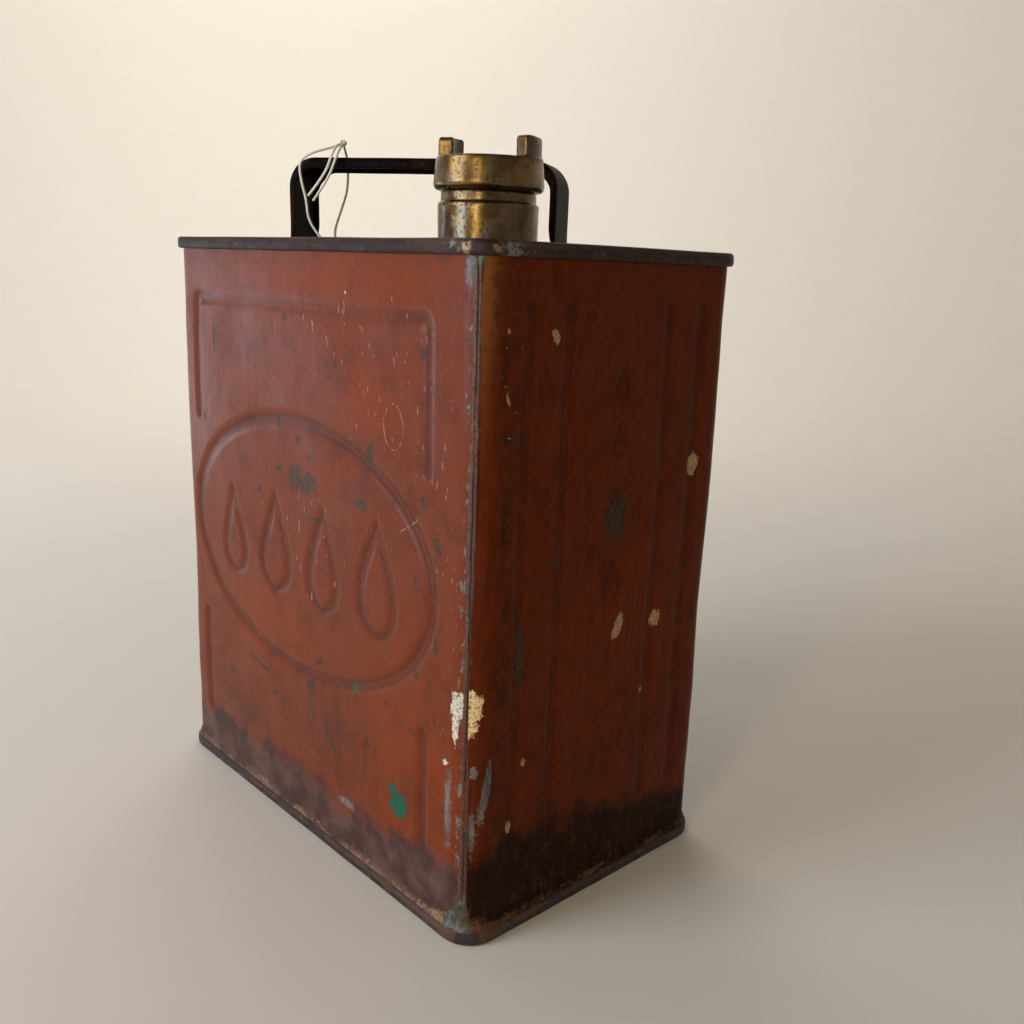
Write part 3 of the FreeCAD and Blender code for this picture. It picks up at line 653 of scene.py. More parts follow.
# Marks are (across, level, half width, half height, tilt), in millimetres and degrees, by x on the
# front and back panels and by y on the right one. A mark without a tilt is upright.
FRONT_MARKS = {
    "chips": (
        (0, 174, 15, 5, 4), (-7, 178, 6, 4), (53, 195, 3, 7.5, -28), (47, 173, 6, 2.6),
        (90, 182, 2.6, 3.4), (99, 167, 2.4, 3.6, 20), (-22, 177, 3.2, 2.2), (6, 186, 2.6, 2.4),
        (-4, 193, 2.2, 2.4), (-22, 200, 2, 2.8), (-103, 150, 2, 5), (-95, 192, 2.4, 3),
        (-42, 72.5, 16, 1.3, -8), (-74, 58, 3.6, 2.2), (-85, 67, 2, 2.6), (12, 91, 3, 2.2),
        (-27, 62, 3.6, 2, 12), (6, 77, 5, 3.4), (99, 125, 1.8, 4), (4, 66, 2.2, 2.2), (-75, 31, 4, 2),
        (-95, 25, 3, 2.6), (87, 109, 2, 2.8), (14, 92, 2, 2), (-13, 247, 2.6, 2), (29, 231, 2.2, 1.8),
        (-82, 236, 1, 13), (22, 56, 1.6, 13, 32), (10, 158.5, 20, 0.9, -2), (-40, 164, 2, 3),
        (66, 90, 1.6, 2.6), (52, 66, 2, 2), (-52, 88, 2.6, 1.4), (-30, 82, 3, 1.6), (84, 84, 1.8, 2.4),
        (96, 216, 1.6, 2), (88, 240, 1.4, 2.2), (30, 140, 2, 1.2), (86, 150, 1.4, 5),
    ),
    "green": ((42, 88, 2.6, 2), (75.5, 45, 6.5, 5.5, 50), (71, 51, 3.4, 3)),
    "white": ((113, 104, 3.6, 6.8), (112.4, 96, 1.6, 9.5), (36, 260, 1, 1), (107, 79, 2.2, 1.4, 24)),
    "lead": ((109, 58, 2.6, 24), (34, 28, 9, 3), (114.5, 270, 3, 7.5)),
    "stain": ((20, 62, 50, 30), (-60, 46, 36, 18), (84, 52, 20, 20)),
    "rubbed": ((70, 228, 60, 46), (104, 170, 14, 110), (0, 150, 60, 40), (20, 250, 50, 12)),
    # Patches of bloom and painted sheen.
    "haze": (
        (106, 254, 20, 44), (-108, 240, 12, 50), (70, 246, 46, 7, 4), (-30, 274, 70, 6),
        (40, 176, 40, 10, 30), (-92, 60, 14, 50), (-64, 168, 16, 10), (100, 200, 10, 26),
    ),
    "warm": ((20, 265, 80, 10), (88, 70, 40, 60), (-40, 96, 60, 18), (50, 216, 22, 18)),
}
RIGHT_MARKS = {
    "buff": ((-72.3, 106, 4.8, 7.5), (-73.3, 98, 3.8, 5.5)),
    "dull": (
        (8, 122.5, 3.2, 6.8, -18), (34, 121, 3.4, 4.8, -8), (52, 190, 3.6, 5.2, -8),
        (-38, 248, 2, 3.6, 20), (27, 88, 1.5, 1.6), (-46, 76, 1.6, 2), (-52, 48, 1.7, 3),
        (-61, 226, 0.9, 3.4, 20), (-62, 250, 0.7, 3),
    ),
    "chips": (
        (-20, 70, 2, 3), (44, 140, 1.6, 2.6), (-58, 210, 1.5, 3.5), (2, 172, 7, 12), (-50, 125, 2.4, 18),
        (-31, 158, 2, 2.6),
    ),
    "lead": ((-70.5, 78, 2.2, 4), (-66, 66, 2.2, 20, -8), (-71, 50, 2, 12)),
    "warm": ((0, 120, 60, 80),),
    "stain": ((-10, 60, 60, 30),),
}
BACK_MARKS = {
    "chips": (
        (-60, 190, 3.4, 6, 20), (34, 210, 6, 2.6, 8), (70, 96, 4, 3), (-20, 60, 8, 2.2, -12),
        (96, 150, 2.4, 4.5), (-88, 48, 4, 2.6),
    ),
    "haze": ((-40, 220, 60, 30, -10), (60, 120, 40, 50)),
    "warm": ((0, 90, 80, 40),),
    "stain": ((10, 60, 70, 26),),
    "rubbed": ((0, 200, 70, 50),),
}
SCRATCH_OVAL = (69.5, 209.5, 6.4, 9.6)
MARK_KINDS = ("chips", "green", "white", "buff", "dull", "lead", "haze", "warm", "stain", "rubbed")
SCRATCH_LINES = ((76, 168, 85, 174), (34, 250, 34.5, 256))


def seen_across(marks, place):
    """The same marks by distance along a sheet, which runs the other way."""
    result = []
    for across, level, wide, tall, *tilt in marks:
        result.append((place(across), level, wide, tall, -sum(tilt)))
    return result


def scratch_distance(x, z):
    """Signed distance to the nearest of the fine scratches on the front panel."""
    middle_x, middle_z, half_x, half_z = SCRATCH_OVAL
    best = oval_distance(x - middle_x, z - middle_z, half_x, half_z)
    best = best + 0.6 * smooth(z, middle_z + 1, middle_z + 5) * (np.abs(best) < 3)
    for x1, z1, x2, z2 in SCRATCH_LINES:
        length = math.hypot(x2 - x1, z2 - z1)
        dx, dz = (x2 - x1) / length, (z2 - z1) / length
        run = (x - x1) * dx + (z - z1) * dz
        off = (z - z1) * dx - (x - x1) * dz
        past = np.maximum(np.maximum(-run, run - length), 0)
        distance = off + np.where(off < 0, -past, past)
        best = np.where(np.abs(distance) < np.abs(best), distance, best)
    return best


def foot_grime(along, z):
    """How far points are below the ragged upper edge of the dirty band at the foot."""
    limit = 27 + 6 * smooth(along, 60, 10) + 14 * smooth(along, HALF_ROUND - 150, HALF_ROUND - 60)
    return np.clip((limit + 2 * ripple(along, 0, 9, 60) - z) / 14, -1, 1)


def paint_sheet(piece, along, z, panels, oily):
    """Store what the red paint reads: each panel's marks, how near the seams and the foot are, and whether
    the sheet gets painted shade.
    """
    for kind in MARK_KINDS:
        marks = [mark for table, place in panels for mark in seen_across(table.get(kind, ()), place)]
        paint_points(piece, kind, spots(along, z, marks))
    near_seam = np.minimum(along, HALF_ROUND - along)
    paint_points(piece, "left_seam", np.minimum(along, 40))
    paint_points(piece, "right_seam", np.minimum(HALF_ROUND - along, 40))
    paint_points(piece, "grime", foot_grime(along, z))
    corner = smooth(near_seam, 34, 8) * smooth(z, 34, 14)
    paint_points(piece, "scuff", 1.25 * smooth(z, 12.5, 6.8) - 0.85 + 0.7 * corner)
    paint_points(piece, "worn", np.maximum(smooth(near_seam, 26, 2) * 0.9, smooth(z, 110, 60) * 0.8))
    paint_points(piece, "oily", np.full(len(z), oily))


UNSCRATCHED = 5.0
front_skin, front_along, front_level = build_sheet("front_skin", 0, "front_sheet", 21)
paint_sheet(front_skin, front_along, front_level, [(FRONT_MARKS, front_at)], 0)
paint_points(front_skin, "scratch", scratch_distance(front_at(0) - front_along, front_level))

# The back sheet carries the painted shade.
back_skin, back_along, back_level = build_sheet("back_skin", HALF_ROUND, "back_sheet", 22)
paint_sheet(back_skin, back_along, back_level, [(BACK_MARKS, front_at), (RIGHT_MARKS, right_at)], 1)
paint_points(back_skin, "scratch", np.full(len(back_along), UNSCRATCHED))


# ---- top and bottom plates


def even_alongs():
    """Distances round the whole outline, the same on both sides of its middle lines."""
    parts, start = [], NEAR_BEND
    for length, count in ((FRONT_RUN, 130), (QUARTER, 12), (SIDE_RUN, 74), (QUARTER, 12)):
        parts.append(start + length * np.arange(count) / count)
        start += length
    half = np.concatenate(parts)
    return np.concatenate([half, half + HALF_ROUND])


def plate_rings(alongs, offset, level_at, count=30):
    """Rings from an offset of the outline in to the middle line of the plate."""
    outer = on_outline(alongs, offset, 0)
    middle = outer.copy()
    middle[:, 0] = np.clip(outer[:, 0], HALF_Y - HALF_X, HALF_X - HALF_Y)
    middle[:, 1] = 0
    result = []
    for t in np.linspace(0, 1, count):
        ring = outer * (1 - t) + middle * t
        ring[:, 2] = level_at(ring[:, 0], ring[:, 1])
        result.append(ring)
    return result


def build_end(name, node, profile, inner, level_at, material, thickness, seed):
    """A pressed end with its seam folded round the body's edge, as one closed shell."""
    alongs = even_alongs()
    rows = plate_rings(alongs, -3.2, lambda x, y: level_at(x, y) + thickness)[::-1]
    for offset, level in profile:
        offset = offset + 0.09 * ripple(alongs, 0, seed, 46) * (offset > 0.5)
        rows.append(on_outline(alongs, offset, level + 0.1 * ripple(alongs, 0, seed + 1, 60)))
    rows += plate_rings(alongs, inner, level_at)
    faces = grid_faces(len(rows), len(alongs), wrap_columns=True)
    return make_piece(name, np.concatenate(rows), faces, material, "can", node, 50)


def top_level(x, y):
    """The top plate: flat where parts stand on it, with a shallow groove round its edge."""
    off_x = HALF_X - 10 - np.abs(x)
    off_y = HALF_Y - 10 - np.abs(y)
    groove = pressed(np.minimum(off_x, off_y), 3.2, 0.8)
    calm = smooth(np.hypot(x - NECK.x, y - NECK.y), 26, 44)
    foot = np.abs(y * math.cos(DIAGONAL) - x * math.sin(DIAGONAL))
    calm = calm * smooth(foot, 16, 30)
    return HEIGHT - TOP_RECESS - groove - 0.3 * calm * (0.5 + 0.5 * ripple(x, y, 31, 70))


def bottom_level(x, y):
    off = np.minimum(HALF_X - 14 - np.abs(x), HALF_Y - 14 - np.abs(y))
    return BOTTOM_RECESS + pressed(off, 3.5, 0.9) + 0.3 * ripple(x, y, 32, 80)


TOP_PROFILE = raised(HEIGHT, [
    (0.05, -5.5), (1.2, -5.7), (2.1, -5.4), (2.55, -4.7), (2.62, -3.9), (2.6, -2.8), (2.55, -1.5),
    (2.25, -0.65), (1.7, -0.18), (1.1, 0), (0.3, -0.05), (-0.5, -0.25), (-1.1, -0.75), (-1.45, -1.6),
    (-1.6, -3), (-1.75, -4.3), (-2.1, -5), (-2.7, -5.35),
])
BASE_PROFILE = [
    (0.05, 5.8), (1, 6), (1.75, 5.85), (2.25, 5.1), (2.42, 4), (2.4, 2.6), (2.3, 1.3), (1.95, 0.5),
    (1.4, 0.1), (0.8, 0), (0, 0.05), (-0.7, 0.2), (-1.2, 0.7), (-1.5, 1.6), (-1.62, 3), (-1.9, 4.1),
    (-2.5, 4.65),
]
top_end = build_end("top_end", "top_plate", TOP_PROFILE, -3.4, top_level, RIM, -0.8, 41)
base_end = build_end("base_end", "bottom_plate", BASE_PROFILE, -3.2, bottom_level,
                     BASE, 0.8, 44)


# ---- neck, washer and cap


def turned(profile, centre, segments=96, shape=None):
    """Rows of points of a lathed form; shape may move a (radius, level, angle) grid before use."""
    angle = np.linspace(0, 2 * math.pi, segments, endpoint=False)
    radius, level = (np.tile(column[:, None], segments) for column in np.array(profile, float).T)
    if shape is not None:
        radius, level = shape(radius, level, np.broadcast_to(angle, radius.shape))
    return np.stack([centre[0] + radius * np.cos(angle), centre[1] + radius * np.sin(angle), level], axis=-1)


def lathe(name, profile, material, body, node, shape=None, closed=False, segments=96):
    """A turned piece on the neck's axis."""
    points = turned(profile, NECK, segments, shape)
    faces = grid_faces(len(profile), segments, wrap_rows=closed, wrap_columns=True)
    return make_piece(name, points.reshape(-1, 3), faces, material, body, node, 40)


def cut_or_join(piece, points, faces, operation):
    """Cut another closed form out of a piece, or join it on."""
    tool = mesh_object("tool", points, faces)
    modifier = piece.modifiers.new("shape", "BOOLEAN")
    modifier.operation = operation
    modifier.solver = "EXACT"
    modifier.object = tool
    bpy.context.view_layer.update()
    mesh = bpy.data.meshes.new_from_object(piece.evaluated_get(bpy.context.evaluated_depsgraph_get()))
    piece.modifiers.clear()
    piece.data = mesh
    bpy.data.objects.remove(tool)


PITCH = 3.175
NECK_BORE = 15.1
NECK_THREAD = 1.5
NECK_ROOT = NECK_BORE + NECK_THREAD
SPIGOT = 18
FLANGE = neck_high.x - NECK.x
TOP_FACE = HEIGHT - TOP_RECESS
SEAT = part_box("cap_washer")[0].z / MM
WASHER_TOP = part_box("cap_washer")[1].z / MM
BORE_END = TOP_FACE - 4
PLUG_BORE = 12.5
PLUG_RADIUS = 14.9
PLUG_THREAD = 1.45
PLUG_BOTTOM = cap_low.z
RING_TOP = WASHER_TOP + 12.1
CROWN = RING_TOP - 2.6
DISH = 14.6


def thread(level, angle):
    """Height of the screw thread, 0 to 1; a turn of the cap with its climb leaves it unchanged."""
    turn = np.mod((level - SEAT) / PITCH - angle / (2 * math.pi), 1)
    return np.clip(1.5 * (1 - np.abs(2 * turn - 1)) - 0.25, 0, 1)


def neck_shape(radius, level, angle):
    """Cut the thread in the bore, and leave the outside a little uneven."""
    fade = smooth(level, SEAT - 0.4, SEAT - 2.2)
    bore = NECK_BORE + NECK_THREAD * (thread(level, angle) * fade + (1 - fade))
    uneven = 0.08 * ripple(angle * 14, level, 51, 9)
    return np.where(radius < NECK_ROOT + 0.01, bore, radius + uneven), level


bore_levels = np.arange(SEAT - 0.2, BORE_END, -0.4)
neck_profile = [(NECK_ROOT, level) for level in bore_levels[::-1]]
neck_profile += raised(SEAT, [
    (NECK_ROOT, 0), (17.4, 0), (17.75, 0.1), (17.78, 1.6), (17.95, 1.9), (18.4, 1.92), (18.66, 1.6),
    (18.72, 0.8), (18.7, -0.6), (18.66, -1.5), (18.78, -1.85), (19.25, -2.15), (19.68, -2.55),
    (19.82, -3.1), (19.8, -4.2), (19.75, -6), (19.72, -8), (19.7, -10.5), (19.68, -13),
    (19.7, -15.5), (19.8, -17.6), (20.1, -19), (20.7, -19.9), (21.8, -20.4), (22.9, -20.55),
    (FLANGE - 0.15, -20.7),
])
neck_profile += [
    (FLANGE, TOP_FACE + 0.6), (FLANGE, TOP_FACE), (SPIGOT, TOP_FACE), (SPIGOT, TOP_FACE - 3.7),
    (SPIGOT - 0.2, BORE_END), (NECK_BORE + 1.7, BORE_END),
]
lathe("neck", neck_profile, BRASS, "can", "neck_collar", neck_shape, True, 128)

hole = turned([(SPIGOT + 0.05, TOP_FACE - 6), (SPIGOT + 0.05, TOP_FACE + 6)], NECK)
hole_faces = grid_faces(2, 96, wrap_columns=True) + [tuple(range(96)), tuple(range(96, 192))]
cut_or_join(top_end, hole.reshape(-1, 3), hole_faces, "DIFFERENCE")


def solder_ring_shape(radius, level, angle):
    """Spread the ring's outer edge unevenly."""
    lump = 0.5 + 0.5 * ripple(angle * 24, radius * 2, 52, 26)
    return np.where(radius > FLANGE, FLANGE + (radius - FLANGE) * (0.7 + 0.5 * lump), radius), level


solder_profile = [(FLANGE + across, level) for across, level in raised(TOP_FACE, [
    (-0.4, 0.05), (2.3, -0.1), (2.1, 0.15), (1.4, 0.4), (0.7, 0.75), (0.25, 1.05), (-0.4, 1.2),
])]
lathe("neck_solder_ring", solder_profile, SOLDER, "can", "neck_solder",
      solder_ring_shape, True, 144)

washer_profile = raised(SEAT, [
    (16.75, 0.1), (17.1, 0), (17.45, 0.15), (17.62, 0.7), (17.64, 1.3), (17.58, 1.9),
])
washer_profile += raised(WASHER_TOP, [(17.4, -0.15), (17.1, 0), (16.75, -0.05)])
washer_profile += [(16.66, SEAT + 1.2)]
lathe("sealing_washer", washer_profile, LEATHER, "washer", "cap_washer", None, True)


def cap_shape(radius, level, angle):
    """Raise the thread on the plug, and leave the ring a little uneven."""
    on_plug = (level < WASHER_TOP - 0.3) & (radius > PLUG_BORE + 0.7)
    fade = smooth(level, PLUG_BOTTOM + 0.3, PLUG_BOTTOM + 2)
    fade = fade * smooth(level, WASHER_TOP - 1, WASHER_TOP - 3)
    radius = np.where(on_plug, radius + PLUG_THREAD * thread(level, angle) * fade, radius)
    on_ring = (radius > DISH + 1) & (level > WASHER_TOP + 0.2)
    return np.where(on_ring, radius + 0.07 * ripple(angle * 20, level, 53, 11), radius), level


cap_profile = raised(CROWN, [(0, -2.4), (6, -2.4), (11.6, -2.5), (12.4, -3.2)])
cap_profile += [(PLUG_BORE, level) for level in np.linspace(CROWN - 6, PLUG_BOTTOM + 1, 5)]
cap_profile += raised(PLUG_BOTTOM, [(12.6, 0.3), (13, 0), (14.2, 0), (14.7, 0.15)])
cap_profile += [(PLUG_RADIUS, level) for level in np.arange(PLUG_BOTTOM + 0.5, WASHER_TOP - 0.35, 0.24)]
cap_profile += raised(WASHER_TOP, [
    (PLUG_RADIUS, -0.1), (15.2, 0), (17.5, 0), (19.6, 0), (20.3, 0.12), (20.9, 0.5), (21.35, 1.05),
    (21.6, 1.7), (21.68, 2.4), (21.6, 3.2), (21.45, 4.6), (21.25, 6.4), (21.05, 8.4), (20.85, 10.2),
    (20.7, 11.4),
])
cap_profile += raised(RING_TOP, [
    (20.55, -0.25), (20.2, 0), (19, 0.02), (17, 0.02), (15.4, 0), (14.95, -0.15), (14.7, -0.5),
    (14.55, -1.2),
])
cap_profile += raised(CROWN, [
    (14.4, 0.5), (13.9, 0.1), (12, 0), (8, 0.25), (4, 0.42), (1.5, 0.5), (0, 0.5),
])
cap = lathe("cap_body", cap_profile, BRASS, "cap", "screw_cap", cap_shape, False, 128)

LUG_TOP = cap_high.z
LUG_RADIUS = 17.6
LUG_HALF_LENGTH = 5.58
LUG_HALF_WIDTH = 3.0
LUG_CORNER = 0.9


def close_spaced(plan, spacing):
    """Points no further apart than about a spacing, round a closed outline."""
    dense = []
    for here, after in zip(plan, plan[1:] + plan[:1]):
        pieces = max(1, int(np.hypot(*(after - here)) / spacing))
        dense += [here + (after - here) * step / pieces for step in range(pieces)]
    return np.array(dense)


def lug(azimuth):
    """A finger lug: a curved block with worn corners, flared into the ring at its root."""
    a, b = LUG_HALF_LENGTH, LUG_HALF_WIDTH
    plan = close_spaced(rounded_profile([(-a, -b), (a, -b), (a, b), (-a, b)], [LUG_CORNER] * 4, 5), 0.8)
    height = LUG_TOP - RING_TOP
    layers = [(-2, 0), (0, 0.55), (0.25, 0.28), (0.6, 0.1), (1.2, 0)]
    layers += [(level, 0) for level in np.linspace(2.2, height - 1.6, 6)]
    layers += [(height - 1, -0.06), (height - 0.5, -0.26), (height - 0.18, -0.52), (height - 0.02, -0.9)]
    rows = []
    for level, grow in layers:
        across = plan[:, 0] * (1 + grow / LUG_HALF_LENGTH)
        out = plan[:, 1] * (1 + grow / LUG_HALF_WIDTH)
        radius = LUG_RADIUS + out - 0.022 * max(level, 0)
        angle = math.radians(azimuth) + across / LUG_RADIUS
        z = RING_TOP + level + 0.05 * ripple(across, out, 54, 5)
        rows.append(np.stack([NECK.x + radius * np.cos(angle), NECK.y + radius * np.sin(angle), z], axis=-1))
    count = len(plan)
    crown, root = rows[-1].mean(axis=0) + [0, 0, 0.04], rows[0].mean(axis=0)
    points = np.concatenate(rows + [crown[None], root[None]])
    faces = grid_faces(len(rows), count, wrap_columns=True)
    middle = len(rows) * count
    for j in range(count):
        following = (j + 1) % count
        faces.append((middle - count + j, middle - count + following, middle))
        faces.append((following, j, middle + 1))
    return points, faces


for azimuth in (19, 201):
    cut_or_join(cap, *lug(azimuth), "UNION")
cap.data.shade_smooth()
cap.data.set_sharp_from_angle(angle=math.radians(42))


# ---- handle and rivets

STRAP_HALF = 12.85
STRAP_CORNER = 2.3
STRAP = 1.5
LEG_DEPTH = 3.0
BAR_DEPTH = 5.0
LEFT, RIGHT = -70.0, 62.0
HANDLE_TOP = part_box("handle_strap")[1].z / MM
LEG_BEND = 13.0
FOOT_BEND = 3.0
FOOT_LENGTH = 17.0
FOOT_CORNER = 6.0
FOOT_TOP = TOP_FACE + STRAP


def on_diagonal(points):
    """Turn points given along and across the handle into the body's frame."""
    points = np.asarray(points, float)
    cos, sin = math.cos(DIAGONAL), math.sin(DIAGONAL)
    x = points[..., 0] * cos - points[..., 1] * sin
    y = points[..., 0] * sin + points[..., 1] * cos
    return np.stack([x, y, points[..., 2]], axis=-1)


def strap_stations():
    """Stations along the strap's outer face, about 1.6 mm apart, as along and height."""
    corners = [
        (LEFT - FOOT_LENGTH, FOOT_TOP, 0), (LEFT, FOOT_TOP, FOOT_BEND), (LEFT, HANDLE_TOP, LEG_BEND),
        (RIGHT, HANDLE_TOP, LEG_BEND), (RIGHT, FOOT_TOP, FOOT_BEND), (RIGHT + FOOT_LENGTH, FOOT_TOP, 0),
    ]
    path = []
    for index, (along, height, radius) in enumerate(corners):
        here = np.array([along, height])
        if radius == 0:
            path.append(here)
            continue
        back = np.array(corners[index - 1][:2]) - here
        ahead = np.array(corners[index + 1][:2]) - here
        back /= np.hypot(*back)
        ahead /= np.hypot(*ahead)
        centre = here + (back + ahead) * radius
        for t in np.linspace(0, math.pi / 2, 15 if radius > 5 else 9):
            path.append(centre - ahead * radius * math.cos(t) - back * radius * math.sin(t))
    even = [path[0]]
    for here, after in zip(path, path[1:]):
        pieces = max(1, int(round(np.hypot(*(after - here)) / 1.6)))
        even += [here + (after - here) * step / pieces for step in range(1, pieces + 1)]
    return np.array(even)


def strap_section(depth):
    """The strap's cross-section, with the same number of points whatever its flanges' depth."""
    half, inner = STRAP_HALF, STRAP_HALF - STRAP
    corner = min(STRAP_CORNER, depth * 0.8)
    plan = [(-half, 0), (half, 0), (half, depth), (inner, depth), (inner, STRAP - 0.02),
            (-inner, STRAP - 0.02), (-inner, depth), (-half, depth)]
    steps = 4
    rounded = rounded_profile(plan, [corner, corner, 0.4, 0.4, 0.9, 0.9, 0.4, 0.4], steps)
    points = []
    for side, between in enumerate((8, 3, 1, 3, 8, 3, 1, 3)):
        after = (side + 1) * (steps + 1)
        points += rounded[after - steps - 1:after]
        start, end = rounded[after - 1], rounded[after % len(rounded)]
        points += [start + (end - start) * k / (between + 1) for k in range(1, between + 1)]
    return np.array(points).T


def build_handle():
    """The pressed strap: rounded feet, legs with shallow flanges and a bar with deeper ones."""
    path = strap_stations()
    heading = np.gradient(path, axis=0)
    heading /= np.hypot(heading[:, 0], heading[:, 1])[:, None]
    normal = np.stack([-heading[:, 1], heading[:, 0]], axis=-1)
    level = path[:, 1]
    tip = np.minimum(path[:, 0] - path[0, 0], path[-1, 0] - path[:, 0])
    short = np.where(level < FOOT_TOP + 1, np.maximum(FOOT_CORNER - tip, 0), 0)
    inset = FOOT_CORNER - np.sqrt(np.maximum(FOOT_CORNER ** 2 - short ** 2, 0))
    flange = STRAP + (LEG_DEPTH - STRAP) * smooth(level, HEIGHT - 2, HEIGHT + 9)
    flange += (BAR_DEPTH - LEG_DEPTH) * smooth(level, HANDLE_TOP - 15, HANDLE_TOP - 3)
    bend = 0.5 * np.sin(path[:, 0] * 0.031) * smooth(level, HEIGHT + 6, HANDLE_TOP)
    rows = []
    for station, depth in enumerate(flange):
        across, down = strap_section(depth)
        across = across * (STRAP_HALF - inset[station]) / STRAP_HALF
        wave = 0.12 * ripple(across * 0.4, station * 1.6, 61, 40)
        place = path[station] - normal[station] * (down + wave)[:, None]
        rows.append(np.stack([place[:, 0], across + bend[station], place[:, 1]], axis=-1))
    columns = len(rows[0])
    faces = grid_faces(len(rows), columns, wrap_columns=True)
    faces += [tuple(end * columns + j for j in range(columns)) for end in (0, len(rows) - 1)]
    points = on_diagonal(np.concatenate(rows))
    make_piece("handle", points, faces, IRON, "can", "handle_strap", 50)


build_handle()

RIVET_PROFILE = raised(FOOT_TOP, [
    (0, 2), (0.8, 1.95), (1.6, 1.76), (2.4, 1.42), (3.1, 0.95), (3.55, 0.5), (3.8, 0.08), (3.7, -0.05),
    (2, -0.05), (2, -2.2), (3.4, -2.3), (3.2, -3), (2.6, -3.5), (0, -3.65),
])


def build_rivets():
    """Two domed rivets through each foot, with their closed heads under the top plate."""
    points, faces = [], []
    for along in (LEFT - 10.2, RIGHT + 10.2):
        for across in (-6.5, 6.5):
            made = turned(RIVET_PROFILE, on_diagonal([along, across, 0]), 32).reshape(-1, 3)
            faces += grid_faces(len(RIVET_PROFILE), 32, wrap_columns=True, start=len(points) * len(made))
            points.append(made)
    piece = make_piece("rivets", np.concatenate(points), faces, IRON, "can", "handle_rivets")
    paint_points(piece, "rubbed", np.full(len(piece.data.vertices), 0.35))


build_rivets()


# ---- solder on the body seams


SEAM_ENDS = (6, HEIGHT - 6)
BEAD_LEFT, BEAD_RIGHT = 2.3, 1.1


def seam_bead(name, start, node, seed):
    """An uneven run of solder along a seam, with a groove down it, and wider and bare at its ends."""
    rows, columns = 190, 23
    low, high = SEAM_ENDS
    s, z = np.meshgrid(np.linspace(0, 1, columns), np.linspace(low, high, rows))
    ends = 0.5 * smooth(z, high - 8, high - 1) + 3.4 * smooth(z, low + 14, low + 2)
    left = BEAD_LEFT * (1 + 0.12 * ripple(z, 0, seed, 17) + ends)
    right = BEAD_RIGHT * (1 + 0.6 * ends)
    along = -right + (left + right) * s
    groove = np.exp(-((s - 0.42) / 0.1) ** 2)
    hump = np.sin(math.pi * s) ** 0.6 * (1 - 0.75 * groove)
    thick = 0.34 + 0.1 * ripple(along * 2, z, seed + 1, 8) + 0.2 * smooth(z, high - 14, high)
    out = hump * np.maximum(thick, 0.12) + 1.7 * smooth(z, 11, 5)
    layers = [on_outline(along + start, face, z).reshape(-1, 3) for face in (out, -0.25)]
    faces = shell_faces(rows, columns)
    piece = make_piece(name, np.concatenate(layers), faces, SEAM, "can", node, 60)
    bare = 0.5 * smooth(z, high - 6, high - 1) + smooth(z, low + 22, low + 8)
    paint_points(piece, "bare", np.tile(bare.ravel(), 2))
    paint_points(piece, "groove", np.tile((groove * (1 - np.clip(bare, 0, 1))).ravel(), 2))


seam_bead("near_seam_bead", 0, "near_seam_solder", 71)
seam_bead("far_seam_bead", HALF_ROUND, "far_seam_solder", 75)

for piece in (top_end, base_end):
    place = np.array([vertex.co[:] for vertex in piece.data.vertices]) / MM
    corner = np.hypot(place[:, 0] - HALF_X, place[:, 1] + HALF_Y)
    side = np.maximum(np.abs(place[:, 0]) - HALF_X, np.abs(place[:, 1]) - HALF_Y)
    high = HEIGHT - 0.9 if piece is top_end else 4.4
    on_fold = side > 0.6
    edge = smooth(np.abs(place[:, 2] - high), 2.2, 0.4)
    paint_points(piece, "rubbed", (edge * 0.45 + 0.5 * smooth(corner, 60, 10)) * on_fold - 0.15)
    shine = 1 if piece is top_end else 0
    paint_points(piece, "bare", shine * smooth(corner, 22, 4) * on_fold - 0.15)
    paint_points(piece, "plate", smooth(side, -2, -8))


# ---- string

STRING_DIAMETER = 0.0012
# Control points: along the handle, across it and above the rim.
STRING_LOOP = (
    (-46.4, -7.2, 44), (-50.5, -11.5, 41.8), (-56.5, -15.8, 39.6), (-62.4, -17.2, 35.6),
    (-61.2, -17.4, 27), (-58.6, -17.2, 18.4), (-58.2, -16.8, 9.8), (-53.2, -16, 2.2),
    (-48.2, -13, -3.9), (-47.6, -5.2, -4.5), (-51.6, 2.6, -3.8), (-55.6, 5.2, 4),
    (-54.4, 10.4, 14), (-53, 15.6, 24.4), (-53.4, 17.6, 34.6), (-52.2, 13, 41.6),
    (-48.6, 4.4, 41.8), (-45.4, -4.2, 44.2),
)
STRING_LEFT = (
    (-45.4, -8, 44.2), (-44.6, -13.6, 43.2), (-45.2, -17.6, 38.4), (-48.6, -17.8, 29.6),
    (-57, -18.6, 20),
)
STRING_RIGHT = (
    (-44.3, -7.7, 44.1), (-42.6, -13.2, 42.6), (-43, -17.4, 37.6), (-47, -17.6, 27.6),
    (-54.6, -18.2, 17.8),
)
KNOT = (-45, -6, 45)


def handle_points(places):
    """Places along the handle, across it and above the rim, as points in metres."""
    return (on_diagonal(places) + [0, 0, HEIGHT]) * MM


def string_curve(name, places, node):
    curve = bpy.data.curves.new(name, "CURVE")
    curve.dimensions = "3D"
    curve.bevel_depth = STRING_DIAMETER / 2
    curve.bevel_resolution = 3
    curve.resolution_u = 8
    curve.use_fill_caps = True
    spline = curve.splines.new("NURBS")
    spline.points.add(len(places) - 1)
    for point, place in zip(spline.points, handle_points(places)):
        point.co = (*place, 1)
    spline.order_u = 3
    spline.use_endpoint_u = True
    piece = add_object(name, curve)
    curve.materials.append(COTTON)
    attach(piece, "can")
    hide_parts(node)
    return piece


